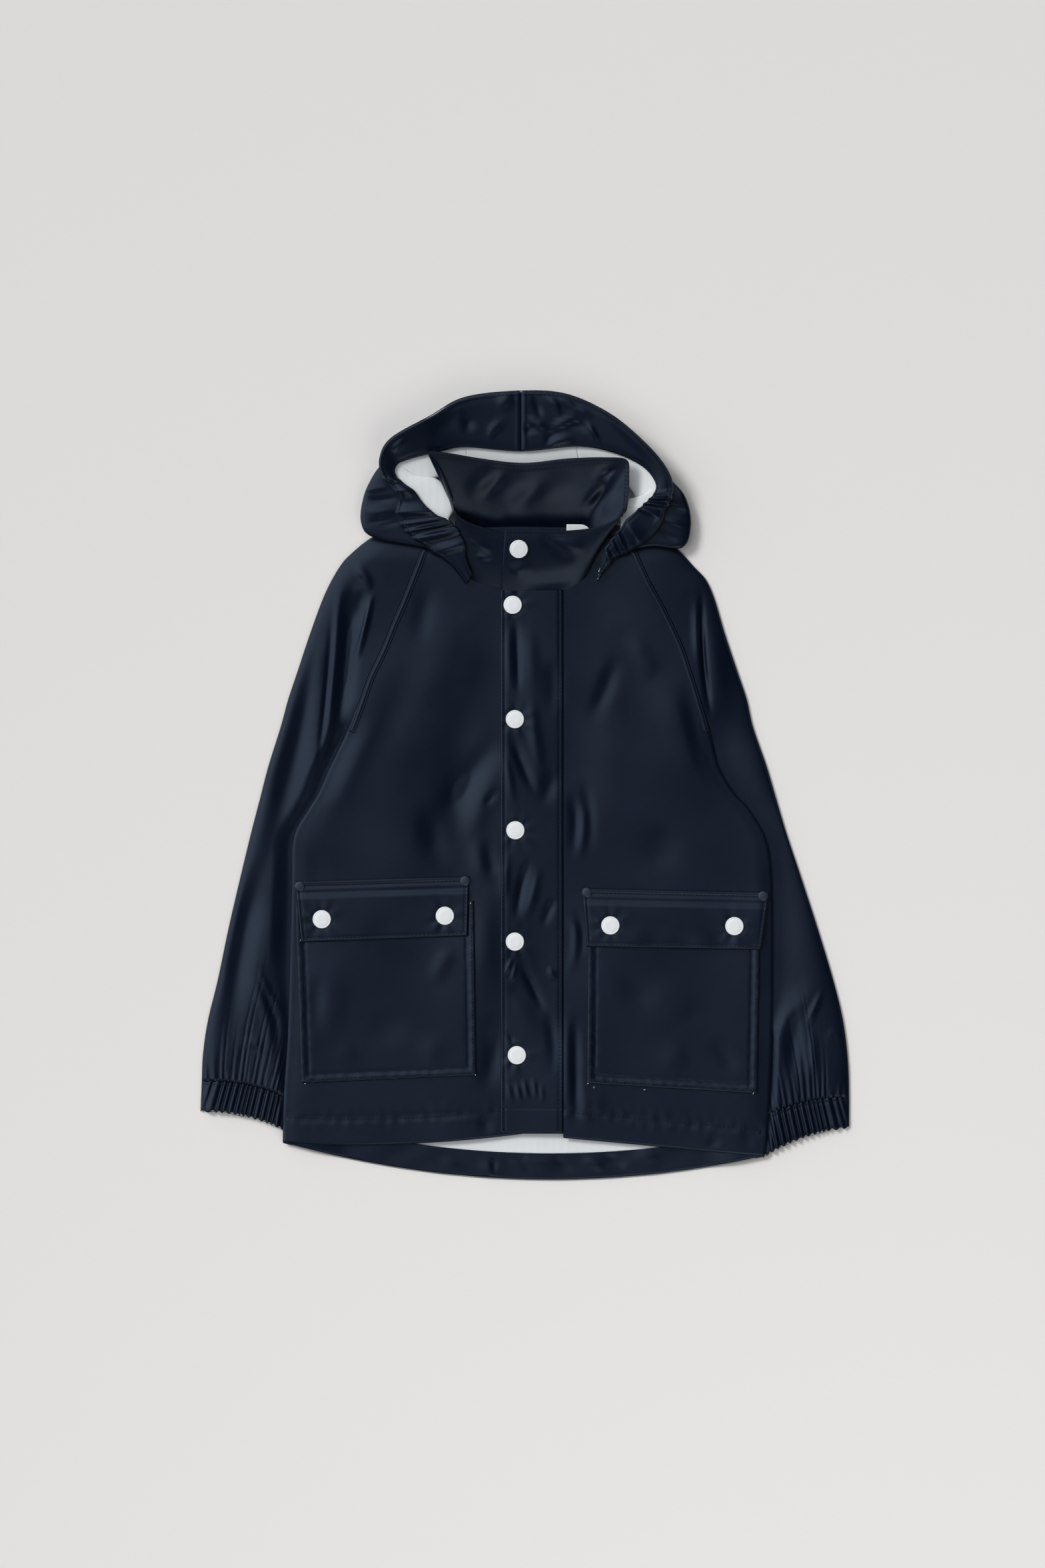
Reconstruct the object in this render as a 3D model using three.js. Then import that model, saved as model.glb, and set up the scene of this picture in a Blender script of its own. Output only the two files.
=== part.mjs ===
// A child's raincoat in coated cloth, laid flat on its back with the sleeves beside the body.
// Millimetres, +Z up off the table, +Y towards the hood. The origin is on the table, at the
// middle of the coat's box, so the tables below are measured from the middle of the body.
import * as THREE from "three";

// Driving sizes
const CLOTH = 1.0; // wall of one layer of coated cloth
const SEAM = 0.35; // gap between two pieces at a seam, and under what lies on a panel
const LOFT = 5.9; // top of the front of the body and sleeves above the table
const FOLD_TOP = 2.3; // top of the cloth where a sleeve folds round its outer edge
const FOLD_REACH = 14; // width of the rounding at a sleeve's outer fold
const PRESSED = 2.7; // top of a sleeve where the body lies on it
const OVER_SLEEVE = 3.1; // underside of the back where it lies on a sleeve
const EDGE_DROP = 0.5; // how far the front of the body drops at its sides
const EDGE_REACH = 12; // width of that drop
const TUCK = { from: 7, to: 30 }; // distance outside the body over which a sleeve rises again
const RAISE = { from: 12, to: 44 }; // distance inside a sleeve over which the back comes down
const SETTLE = { low: 32, high: 72 }; // the body comes to lie on the sleeves between these heights
const SHOULDER = { drop: 2.7, low: 182, high: 207 }; // flatter beside the back neck
const CALM = { from: 2, to: 22 }; // folds fade out at the body's sides
const LONGEST_STEP = 34; // between two sections
const SNAP = { radius: 7.5, rim: 0.9, dome: 2.4, lift: 0.5, sides: 12 };
const RIVET = { radius: 4.2, rim: 0.6, dome: 1.3, lift: 0.4, sides: 10 };
const PLACKET = { left: -19.6, right: 31, top: 158.2, bottom: -281.5, wall: 1.2, lift: 0.5 };
const CUFF = { gathers: 12, depth: 1.1 };
const HEM_BAND = { width: 21, left: -158, right: 156 };
const FELL = { width: 4.4, wall: 0.7, lift: 0.6, inset: 0.8, fromRow: 2, toRow: 10 };
const COLLAR_WALL = 1.3;
const COLLAR_BOW = 1.5; // how far the collar's wall swells between its two edges
const HOOD = {
  centre: 11, // the section at the top of the hood
  seam: 0.012, // half a seam gap, as a share of one section
  throat: 4, // how far the hood's inside goes in below the facing
  throatAtTabs: -8, // at the two ends it comes out again instead, clear of the collar
  tabFrom: 6.5, // the ends begin between these distances from the centre, in sections
  tabTo: 8.5,
  besideNeck: 0.14, // share of the lower layer that rises from the neck seam
  upper: 0.45, // height of the upper layer, between the lower layer and the facing's edge
  turn: 3, // how far the outermost fold stands out from where it begins to bend
  lip: 1.5, // how far the throat undercuts itself
  gathersPerSection: 2,
  gatherDepth: 1.6,
  gatherFrom: 4.6, // the gathers lie between these distances from the centre, in sections
  gatherTo: 9.6,
  facingLift: 1.7, // middle of the facing above the middle of the shell
};
const LABEL = { left: 34, right: 61.5, top: 208.8, bottom: 196, wall: 0.6 };
const POCKET_LIFT = 0.7; // clearance over the swell of the front below
const FLAP_WALL = 1.3;
const RIM = { width: 5.4, raise: 0.7 }; // bound edge of a pocket

const NAVY = "#181f2c";
const NAVY_DEEP = "#11171f";
const WHITE = "#e4e5e4";

const { lerp, smoothstep, clamp } = THREE.MathUtils;

// Rows of numbers under named columns
function table(columns, rows) {
  return rows.map((row) => Object.fromEntries(columns.map((name, i) => [name, row[i]])));
}

// Sleeve sections from the neck to the cuff seam: outer fold, then raglan seam or inner edge
const SLEEVE_COLUMNS = ["outerX", "outerY", "innerX", "innerY"];
const RAGLAN_ROWS = 12; // the first rows end on the raglan seam, the rest lie under the body

const sleeveRight = table(SLEEVE_COLUMNS, [
  [-62, 219, -56.5, 208.5],
  [-82, 217, -72, 203],
  [-104, 212, -83, 193],
  [-125, 201, -89, 178],
  [-140, 189, -95, 163],
  [-150, 178, -101, 148],
  [-162, 156, -108, 132],
  [-174, 124, -117, 110],
  [-185, 91, -127, 89],
  [-192, 70, -133, 72],
  [-198, 48, -142, 48],
  [-208, 16, -157, 16],
  [-215, -11, -158, -6],
  [-222, -38, -155, -33],
  [-230, -71, -152, -65],
  [-240, -114, -153, -109],
  [-249, -157, -162, -154],
  [-257, -190, -173, -192],
  [-261, -217, -181, -227],
  [-262, -239, -187, -255],
]);

const sleeveLeft = table(SLEEVE_COLUMNS, [
  [62, 219, 56.5, 208.5],
  [82, 217, 74, 202],
  [107, 206, 88, 194],
  [125, 191, 96, 179],
  [137, 178, 103, 164],
  [147, 167, 112, 148],
  [154, 151, 121, 130],
  [162, 124, 129, 112],
  [173, 91, 136, 91],
  [180, 70, 142, 72],
  [185, 48, 149, 48],
  [196, 16, 157, 16],
  [204, -11, 161, -6],
  [212, -38, 160, -33],
  [223, -71, 159, -65],
  [237, -114, 160, -111],
  [250, -157, 168, -157],
  [258, -190, 175, -200],
  [262, -222, 183, -238],
  [263, -252, 188, -270],
]);

// Height of the centre line at each section that ends on the raglan seam
const CENTRE_Y = [158.2, 152, 145, 138, 130, 120, 108, 93, 77, 62, 42, 14];
// How far a section follows the hollow of the neckline, from all the way to not at all
const NECK_SHARE = [1, 0.75, 0.5, 0.3, 0.12, 0, 0, 0, 0, 0, 0, 0];

// Body sections below the raglan seam: side edge, then the centre line's height
const BODY_COLUMNS = ["sideX", "sideY", "centreY"];

const bodyRight = table(BODY_COLUMNS, [
  [-167, -6, -6],
  [-175, -19, -19],
  [-187, -42, -42],
  [-188.5, -79, -78],
  [-190, -139, -136],
  [-192, -204, -199],
  [-195, -249, -243],
  [-196, -289, -280.5],
]);

const bodyLeft = table(BODY_COLUMNS, [
  [170, -6, -6],
  [181, -18, -18],
  [195, -42, -42],
  [200, -71, -71],
  [201, -139, -137],
  [200, -204, -200],
  [197, -276, -262],
  [194, -300, -285],
]);

const sides = {
  right: { hand: -1, sleeve: sleeveRight, body: bodyRight, centreX: 7, hemSag: 5 },
  left: { hand: 1, sleeve: sleeveLeft, body: bodyLeft, centreX: PLACKET.right + SEAM, hemSag: 0 },
};

// Main folds: from, to, width, and height of the ridge, or depth of the trough if negative
const folds = table(["fromX", "fromY", "toX", "toY", "width", "height"], [
  [-140, 165, -190, 20, 30, 1.6],
  [-118, 160, -158, 20, 26, -1.6],
  [-205, -20, -240, -190, 34, 1.5],
  [-222, -150, -196, -205, 22, 1.4],
  [-232, -190, -228, -232, 14, 1.2],
  [-212, -205, -210, -238, 12, 1.1],
  [128, 160, 168, 40, 26, 1.4],
  [114, 162, 150, 60, 22, -1.4],
  [205, -20, 240, -180, 34, 1.5],
  [226, -130, 206, -200, 22, 1.3],
  [238, -200, 236, -242, 14, 1.2],
  [218, -210, 218, -250, 12, 1.1],
  [-75, 150, -118, 60, 40, 1.2],
  [78, 150, 118, 60, 40, 1.0],
  [-8, 40, 22, -60, 26, 1.1],
  [-60, 20, -30, -60, 50, 0.9],
]);

// One point of a polyline given by x and y columns, found by its height
function xAtHeight(rows, xName, yName, y) {
  let k = 1;
  while (k < rows.length - 1 && rows[k][yName] > y) k++;
  const upper = rows[k - 1];
  const lower = rows[k];
  const t = clamp((upper[yName] - y) / (upper[yName] - lower[yName]), 0, 1);
  return lerp(upper[xName], lower[xName], t);
}

// Lower edges of the two cuffs
const cuffHems = {
  right: { outerX: -263, outerY: -263, innerX: -188, innerY: -281.5 },
  left: { outerX: 263, outerY: -276, innerX: 190, innerY: -302 },
};

for (const side of Object.values(sides)) {
  side.edge = side.sleeve
    .slice(0, RAGLAN_ROWS)
    .map((row) => ({ sideX: row.innerX, sideY: row.innerY }))
    .concat(side.body);
}

// 1 where the body lies on the sleeves, 0 up at the raglan seams
function settled(y) {
  return 1 - smoothstep(y, SETTLE.low, SETTLE.high);
}

function foldHeight(x, y) {
  let sum = 0;
  for (const f of folds) {
    const dx = f.toX - f.fromX;
    const dy = f.toY - f.fromY;
    const run = dx * dx + dy * dy;
    const along = ((x - f.fromX) * dx + (y - f.fromY) * dy) / run;
    const off = Math.abs((x - f.fromX) * dy - (y - f.fromY) * dx) / Math.sqrt(run);
    const ends = smoothstep(along, -0.15, 0.25) * (1 - smoothstep(along, 0.75, 1.15));
    const across = 1 - smoothstep(off, 0, f.width / 2);
    sum += f.height * ends * across;
  }
  return sum;
}

// Top of the cloth before folds, lower beside the back neck
function loft(y) {
  return LOFT - SHOULDER.drop * smoothstep(y, SHOULDER.low, SHOULDER.high);
}

// Top of the front of the body
function bodyTop(x, y) {
  const side = x < 0 ? sides.right : sides.left;
  const inside = side.hand * (xAtHeight(side.edge, "sideX", "sideY", y) - x);
  const drop = EDGE_DROP * settled(y) * (1 - smoothstep(inside, 0, EDGE_REACH));
  const calm = lerp(1, smoothstep(inside, CALM.from, CALM.to), settled(y));
  return loft(y) - drop + calm * foldHeight(x, y);
}

// Top of the front of a sleeve, fromFold away from its outer fold
function sleeveTop(side, x, y, fromFold) {
  const outside = side.hand * (x - xAtHeight(side.edge, "sideX", "sideY", y));
  const tuck = settled(y) * (1 - smoothstep(outside, TUCK.from, TUCK.to));
  const r = clamp(fromFold / FOLD_REACH, 0, 1);
  const round = Math.sqrt(1 - (1 - r) * (1 - r));
  const open = lerp(FOLD_TOP, loft(y), round) + round * foldHeight(x, y);
  return lerp(open, Math.min(open, PRESSED), tuck);
}

// Top of the back of the body, raised where a sleeve lies under it
function backTop(x, y) {
  let raise = 0;
  for (const side of Object.values(sides)) {
    const clear = side.hand * (xAtHeight(side.sleeve, "innerX", "innerY", y) - x);
    raise = Math.max(raise, 1 - smoothstep(clear, RAISE.from, RAISE.to));
  }
  return CLOTH + OVER_SLEEVE * settled(y) * raise;
}

// A closed wall of cloth round a grid of middle points
function clothWall(grid, thickness) {
  const across = grid[0].length;
  const position = [];
  const index = [];
  const at = (i, j) => grid[clamp(i, 0, grid.length - 1)][clamp(j, 0, across - 1)];
  for (const way of [0.5, -0.5])
    grid.forEach((row, i) =>
      row.forEach((p, j) => {
        const alongRow = at(i, j + 1).clone().sub(at(i, j - 1));
        const downRows = at(i + 1, j).clone().sub(at(i - 1, j));
        const normal = alongRow.cross(downRows).normalize();
        position.push(...p.clone().addScaledVector(normal, way * thickness).toArray());
      }),
    );
  const layer = grid.length * across;
  const id = (i, j, k) => k * layer + i * across + j;
  const quad = (a, b, c, d) => index.push(a, b, c, a, c, d);
  const columns = across - 1;
  for (let i = 0; i < grid.length - 1; i++)
    for (let j = 0; j < columns; j++) {
      quad(id(i, j, 0), id(i, j + 1, 0), id(i + 1, j + 1, 0), id(i + 1, j, 0));
      quad(id(i, j, 1), id(i + 1, j, 1), id(i + 1, j + 1, 1), id(i, j + 1, 1));
    }
  const last = grid.length - 1;
  for (let j = 0; j < columns; j++) {
    quad(id(0, j, 0), id(0, j, 1), id(0, j + 1, 1), id(0, j + 1, 0));
    quad(id(last, j, 0), id(last, j + 1, 0), id(last, j + 1, 1), id(last, j, 1));
  }
  for (let i = 0; i < last; i++) {
    quad(id(i, 0, 0), id(i + 1, 0, 0), id(i + 1, 0, 1), id(i, 0, 1));
    quad(id(i, columns, 0), id(i, columns, 1), id(i + 1, columns, 1), id(i + 1, columns, 0));
  }
  const geometry = new THREE.BufferGeometry();
  geometry.setAttribute("position", new THREE.Float32BufferAttribute(position, 3));
  geometry.setIndex(index);
  if (signedVolume(geometry) < 0) geometry.setIndex(index.reverse());
  geometry.computeVertexNormals();
  return geometry;
}

function signedVolume(geometry) {
  const p = geometry.attributes.position;
  const corner = [new THREE.Vector3(), new THREE.Vector3(), new THREE.Vector3()];
  let sum = 0;
  for (let i = 0; i < geometry.index.count; i += 3) {
    corner.forEach((v, k) => v.fromBufferAttribute(p, geometry.index.getX(i + k)));
    sum += corner[0].dot(corner[1].clone().cross(corner[2]));
  }
  return sum / 6;
}

// Even steps from 0 to 1
function steps(count) {
  return Array.from({ length: count + 1 }, (_, i) => i / count);
}

// Adds rows where two sections lie further apart than longest
function refined(rows, longest) {
  const out = [rows[0]];
  for (let k = 1; k < rows.length; k++) {
    const a = rows[k - 1];
    const b = rows[k];
    const names = Object.keys(a);
    const span = Math.max(...names.map((name) => Math.abs(a[name] - b[name])));
    const parts = Math.ceil(span / longest);
    for (let i = 1; i <= parts; i++)
      out.push(Object.fromEntries(names.map((name) => [name, lerp(a[name], b[name], i / parts)])));
  }
  return out;
}

const coat = new THREE.Group();

function addPiece(name, geometry, color, roughness = 0.42) {
  const material = new THREE.MeshStandardMaterial({ color, roughness, metalness: 0 });
  const mesh = new THREE.Mesh(geometry, material);
  mesh.name = name;
  coat.add(mesh);
  return mesh;
}

// Sections of the body from its side edge to the centre line, side by side with the sleeve's
function bodySections(side) {
  const upper = side.sleeve.slice(0, RAGLAN_ROWS).map((row, i) => ({
    sideX: row.innerX - side.hand * SEAM,
    sideY: row.innerY - SEAM * 0.6,
    centreY: CENTRE_Y[i],
    neck: NECK_SHARE[i],
    sag: 0,
  }));
  const lower = side.body.map((row, i) => ({
    ...row,
    neck: 0,
    sag: i === side.body.length - 1 ? side.hemSag : 0,
  }));
  return refined(upper.concat(lower), LONGEST_STEP);
}

// Front panels
const FRONT_COLUMNS = [0, 0.04, 0.1, 0.2, 0.34, 0.48, 0.62, 0.76, 0.88, 1];

// The neckline runs down from the raglan seam and round to the centre, squarer than a circle
function necklineBend(first, side, u) {
  const turn = (u * Math.PI) / 2;
  const across = 1 - Math.sqrt(Math.cos(turn));
  const down = Math.sqrt(Math.sin(turn));
  return {
    x: (side.centreX - first.sideX) * (across - u),
    y: (first.centreY - first.sideY) * (down - u),
  };
}

function frontPanel(side) {
  const sections = bodySections(side);
  const grid = sections.map((row) =>
    FRONT_COLUMNS.map((u) => {
      const bend = necklineBend(sections[0], side, u);
      const x = lerp(row.sideX, side.centreX, u) + row.neck * bend.x;
      const sag = row.sag * 4 * u * (1 - u);
      const y = lerp(row.sideY, row.centreY, u) + row.neck * bend.y - sag;
      return new THREE.Vector3(x, y, bodyTop(x, y) - CLOTH / 2);
    }),
  );
  return clothWall(grid, CLOTH);
}

// Back panel, from side to side, with a dropped hem
const BACK_SIDE_COLUMNS = [0, 0.04, 0.08, 0.12, 0.16, 0.22, 0.36];
const BACK_COLUMNS = [...BACK_SIDE_COLUMNS, 0.5, ...BACK_SIDE_COLUMNS.map((u) => 1 - u).reverse()];
const BACK_NECK_RISE = 3; // the back neck is a little higher in the middle
const BACK_HEM_DROP = 24.5; // the back hem hangs below the front hem

function backEdges() {
  const right = bodySections(sides.right);
  const left = bodySections(sides.left);
  const count = 17;
  const pick = (rows, t, name) => {
    const at = t * (rows.length - 1);
    const k = Math.min(Math.floor(at), rows.length - 2);
    return lerp(rows[k][name], rows[k + 1][name], at - k);
  };
  return steps(count).map((t) => ({
    rightX: pick(right, t, "sideX"),
    rightY: pick(right, t, "sideY"),
    leftX: pick(left, t, "sideX"),
    leftY: pick(left, t, "sideY"),
    bow: lerp(BACK_NECK_RISE, 0, clamp(t * 5, 0, 1)) - BACK_HEM_DROP * clamp((t - 0.8) * 5, 0, 1),
  }));
}

function backPanel() {
  const grid = backEdges().map((row) =>
    BACK_COLUMNS.map((u) => {
      const x = lerp(row.rightX, row.leftX, u);
      const y = lerp(row.rightY, row.leftY, u) + row.bow * 4 * u * (1 - u);
      return new THREE.Vector3(x, y, backTop(x, y) - CLOTH / 2);
    }),
  );
  return clothWall(grid, CLOTH);
}

function hemHeight(x) {
  const ends = backEdges().at(-1);
  const u = (x - ends.rightX) / (ends.leftX - ends.rightX);
  return lerp(ends.rightY, ends.leftY, u) + ends.bow * 4 * u * (1 - u);
}

// Turned-up hem of the back, which shows inside below the front hem
function hemBand() {
  const grid = steps(26).map((t) => {
    const x = lerp(HEM_BAND.left, HEM_BAND.right, t);
    return steps(2).map((w) => {
      const y = hemHeight(x) + 0.6 + HEM_BAND.width * w;
      return new THREE.Vector3(x, y, backTop(x, y) + SEAM + CLOTH / 2);
    });
  });
  return clothWall(grid, CLOTH);
}

// Sleeves: a front and a back layer that meet along the outer fold and the inner edge
const SLEEVE_STEPS = [0, 0.04, 0.1, 0.18, 0.3, 0.44, 0.58, 0.72, 0.86, 1];
const SLEEVE_BACK_STEPS = [0, 0.25, 0.5, 0.75, 1];
const CUFF_SAG = 5; // the cuff seam hollows a little towards the shoulder

function sleeveRows(side) {
  const rows = refined(side.sleeve, LONGEST_STEP);
  return rows.map((row, i) => ({ ...row, bow: i === rows.length - 1 ? CUFF_SAG : 0 }));
}

function sleeveSpot(row, u) {
  return {
    x: lerp(row.outerX, row.innerX, u),
    y: lerp(row.outerY, row.innerY, u) + row.bow * 4 * u * (1 - u),
    fromFold: u * Math.hypot(row.outerX - row.innerX, row.outerY - row.innerY),
  };
}

function sleeveFront(side) {
  const grid = sleeveRows(side).map((row) =>
    SLEEVE_STEPS.map((u) => {
      const { x, y, fromFold } = sleeveSpot(row, u);
      return new THREE.Vector3(x, y, sleeveTop(side, x, y, fromFold) - CLOTH / 2);
    }),
  );
  return clothWall(grid, CLOTH);
}

function sleeveBack(side) {
  const grid = sleeveRows(side).map((row) =>
    SLEEVE_BACK_STEPS.map((u) => {
      const { x, y } = sleeveSpot(row, u);
      return new THREE.Vector3(x, y, CLOTH / 2);
    }),
  );
  return clothWall(grid, CLOTH);
}

// Cuffs: a gathered casing for elastic, pressed flat, so that it is a front and a back layer
const CUFF_ROWS = [0, 0.5, 1];
const SAMPLES_PER_GATHER = 4;

function cuffRow(side, hem, s) {
  const seam = sleeveRows(side).at(-1);
  return {
    outerX: lerp(seam.outerX, hem.outerX, s),
    outerY: lerp(seam.outerY - SEAM, hem.outerY, s),
    innerX: lerp(seam.innerX, hem.innerX, s),
    innerY: lerp(seam.innerY - SEAM, hem.innerY, s),
    bow: CUFF_SAG,
  };
}

function cuffFront(side, hem) {
  const grid = CUFF_ROWS.map((s) =>
    steps(CUFF.gathers * SAMPLES_PER_GATHER).map((u) => {
      const { x, y, fromFold } = sleeveSpot(cuffRow(side, hem, s), u);
      const wave = 0.5 - 0.5 * Math.cos(2 * Math.PI * CUFF.gathers * u);
      const top = sleeveTop(side, x, y, fromFold);
      const free = smoothstep(top, PRESSED, LOFT);
      return new THREE.Vector3(x, y, top - CLOTH / 2 - CUFF.depth * wave * free);
    }),
  );
  return clothWall(grid, CLOTH);
}

function cuffBack(side, hem) {
  const grid = CUFF_ROWS.map((s) =>
    SLEEVE_BACK_STEPS.map((u) => {
      const { x, y } = sleeveSpot(cuffRow(side, hem, s), u);
      return new THREE.Vector3(x, y, CLOTH / 2);
    }),
  );
  return clothWall(grid, CLOTH);
}

// Placket, laid over both fronts, with its free edge to the wearer's right
function placket() {
  const grid = steps(26).map((t) => {
    const y = lerp(PLACKET.top, PLACKET.bottom, t);
    return steps(4).map((u) => {
      const x = lerp(PLACKET.left, PLACKET.right, u);
      return new THREE.Vector3(x, y, bodyTop(x, y) + PLACKET.lift + PLACKET.wall / 2);
    });
  });
  return clothWall(grid, PLACKET.wall);
}

// Patch pockets: four corners each, with a raised bound edge on three sides
const CORNER_COLUMNS = ["upperRightX", "upperRightY", "upperLeftX", "upperLeftY",
  "lowerRightX", "lowerRightY", "lowerLeftX", "lowerLeftY"];
const pocketCorners = table(CORNER_COLUMNS, [
  [-186, -95, -41.3, -93, -181, -240.5, -39.2, -234.4],
  [51.5, -97, 191, -100, 50.4, -240.8, 188.5, -249],
]);
const flapCorners = table(CORNER_COLUMNS, [
  [-186.3, -77.2, -45, -73, -181, -126.6, -46.3, -121.5],
  [46.5, -82.6, 198, -86, 50, -130.2, 191.5, -132.6],
]);

function cornerSpot(c, u, w) {
  return {
    x: lerp(lerp(c.upperRightX, c.upperLeftX, u), lerp(c.lowerRightX, c.lowerLeftX, u), w),
    y: lerp(lerp(c.upperRightY, c.upperLeftY, u), lerp(c.lowerRightY, c.lowerLeftY, u), w),
  };
}

// Raised edge, by distance from the edge of the piece
function rimHeight(fromEdge) {
  return RIM.raise * smoothstep(fromEdge, 0, 1) * (1 - smoothstep(fromEdge, RIM.width - 1, RIM.width));
}

function pocket(c) {
  const wide = Math.abs(c.upperLeftX - c.upperRightX);
  const tall = Math.abs(c.lowerRightY - c.upperRightY);
  const rimStops = [0, 1.2, RIM.width - 1, RIM.width + 0.6];
  const columns = [...rimStops.map((d) => d / wide), 0.2, 0.35, 0.5, 0.65, 0.8,
    ...rimStops.map((d) => 1 - d / wide).reverse()];
  const rows = [0, 0.12, 0.26, 0.4, 0.54, 0.68, 0.82, ...rimStops.map((d) => 1 - d / tall).reverse()];
  const grid = rows.map((w) =>
    columns.map((u) => {
      const { x, y } = cornerSpot(c, u, w);
      const fromEdge = Math.min(u * wide, (1 - u) * wide, (1 - w) * tall);
      const z = bodyTop(x, y) + POCKET_LIFT + CLOTH / 2 + rimHeight(fromEdge);
      return new THREE.Vector3(x, y, z);
    }),
  );
  return clothWall(grid, CLOTH);
}

// Pocket flaps: sewn to the body along the top, lying over the pocket below
const FLAP_STEP = { from: 0.18, to: 0.3 }; // where the flap rises on to the pocket
const FLAP_ROWS = [0, 0.09, FLAP_STEP.from, FLAP_STEP.to, 0.5, 0.75, 1];

function flapUnderside(w) {
  const overPocket = POCKET_LIFT + CLOTH + RIM.raise + SEAM;
  return lerp(POCKET_LIFT, overPocket, smoothstep(w, FLAP_STEP.from, FLAP_STEP.to));
}

function flap(c) {
  const grid = FLAP_ROWS.map((w) =>
    steps(9).map((u) => {
      const { x, y } = cornerSpot(c, u, w);
      return new THREE.Vector3(x, y, bodyTop(x, y) + flapUnderside(w) + FLAP_WALL / 2);
    }),
  );
  return clothWall(grid, FLAP_WALL);
}

// Felled raglan seams: a narrow strip along the body's side of each seam
function fellStrip(side) {
  const rows = side.sleeve.slice(FELL.fromRow, FELL.toRow);
  const grid = rows.map((row, i) => {
    const before = rows[Math.max(i - 1, 0)];
    const after = rows[Math.min(i + 1, rows.length - 1)];
    const run = new THREE.Vector2(after.innerX - before.innerX, after.innerY - before.innerY);
    run.normalize();
    return [0, 0.5, 1].map((w) => {
      const d = FELL.inset + w * FELL.width;
      const x = row.innerX + side.hand * d * run.y;
      const y = row.innerY - side.hand * d * run.x;
      return new THREE.Vector3(x, y, bodyTop(x, y) + FELL.lift + FELL.wall / 2);
    });
  });
  return clothWall(grid, FELL.wall);
}

// Collar: one strip round the neck that leans outwards, its ends crossing at the front.
// Each section goes from the neck seam to the top edge.
const collarSections = table(["seamX", "seamY", "seamZ", "topX", "topY", "topZ"], [
  [7, 159.8, 4.9, 7, 205, 14.2],
  [-19, 160.2, 4.9, -19, 205.5, 14.2],
  [-38, 164.4, 5.4, -38, 210.5, 16],
  [-48, 172, 5.4, -49, 215, 18],
  [-53, 183, 5.4, -56, 222, 20],
  [-53, 197, 4.5, -60, 237, 22.5],
  [-52, 205, 3.4, -70, 259, 26],
  [-49, 209.5, 2.5, -78, 269, 27],
  [-42, 211, 2.1, -65, 269, 26],
  [-28, 211.5, 2, -35, 264, 25],
  [0, 212, 2, -1, 260.5, 24],
  [28, 211.5, 2, 34, 264, 25],
  [42, 211, 2.1, 65, 265, 26],
  [50, 209.5, 2.5, 82, 263, 27],
  [54, 205, 3.4, 84, 251, 26],
  [54.5, 197, 4.5, 83, 228, 23],
  [53.5, 183, 5.4, 79, 220, 20],
  [49, 170, 5.6, 61, 212, 18],
  [29, 160.4, 6.4, 34, 207, 17],
  [1, 159.8, 7.3, 7, 206, 16.8],
  [-19, 160, 7.3, -16, 206, 16.8],
]);

function collar() {
  const grid = steps(4).map((w) =>
    collarSections.map((c) => {
      const bow = COLLAR_BOW * 4 * w * (1 - w);
      return new THREE.Vector3(
        lerp(c.seamX, c.topX, w),
        lerp(c.seamY, c.topY, w),
        lerp(c.seamZ, c.topZ, w) + bow,
      );
    }),
  );
  return clothWall(grid, COLLAR_WALL);
}

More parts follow.
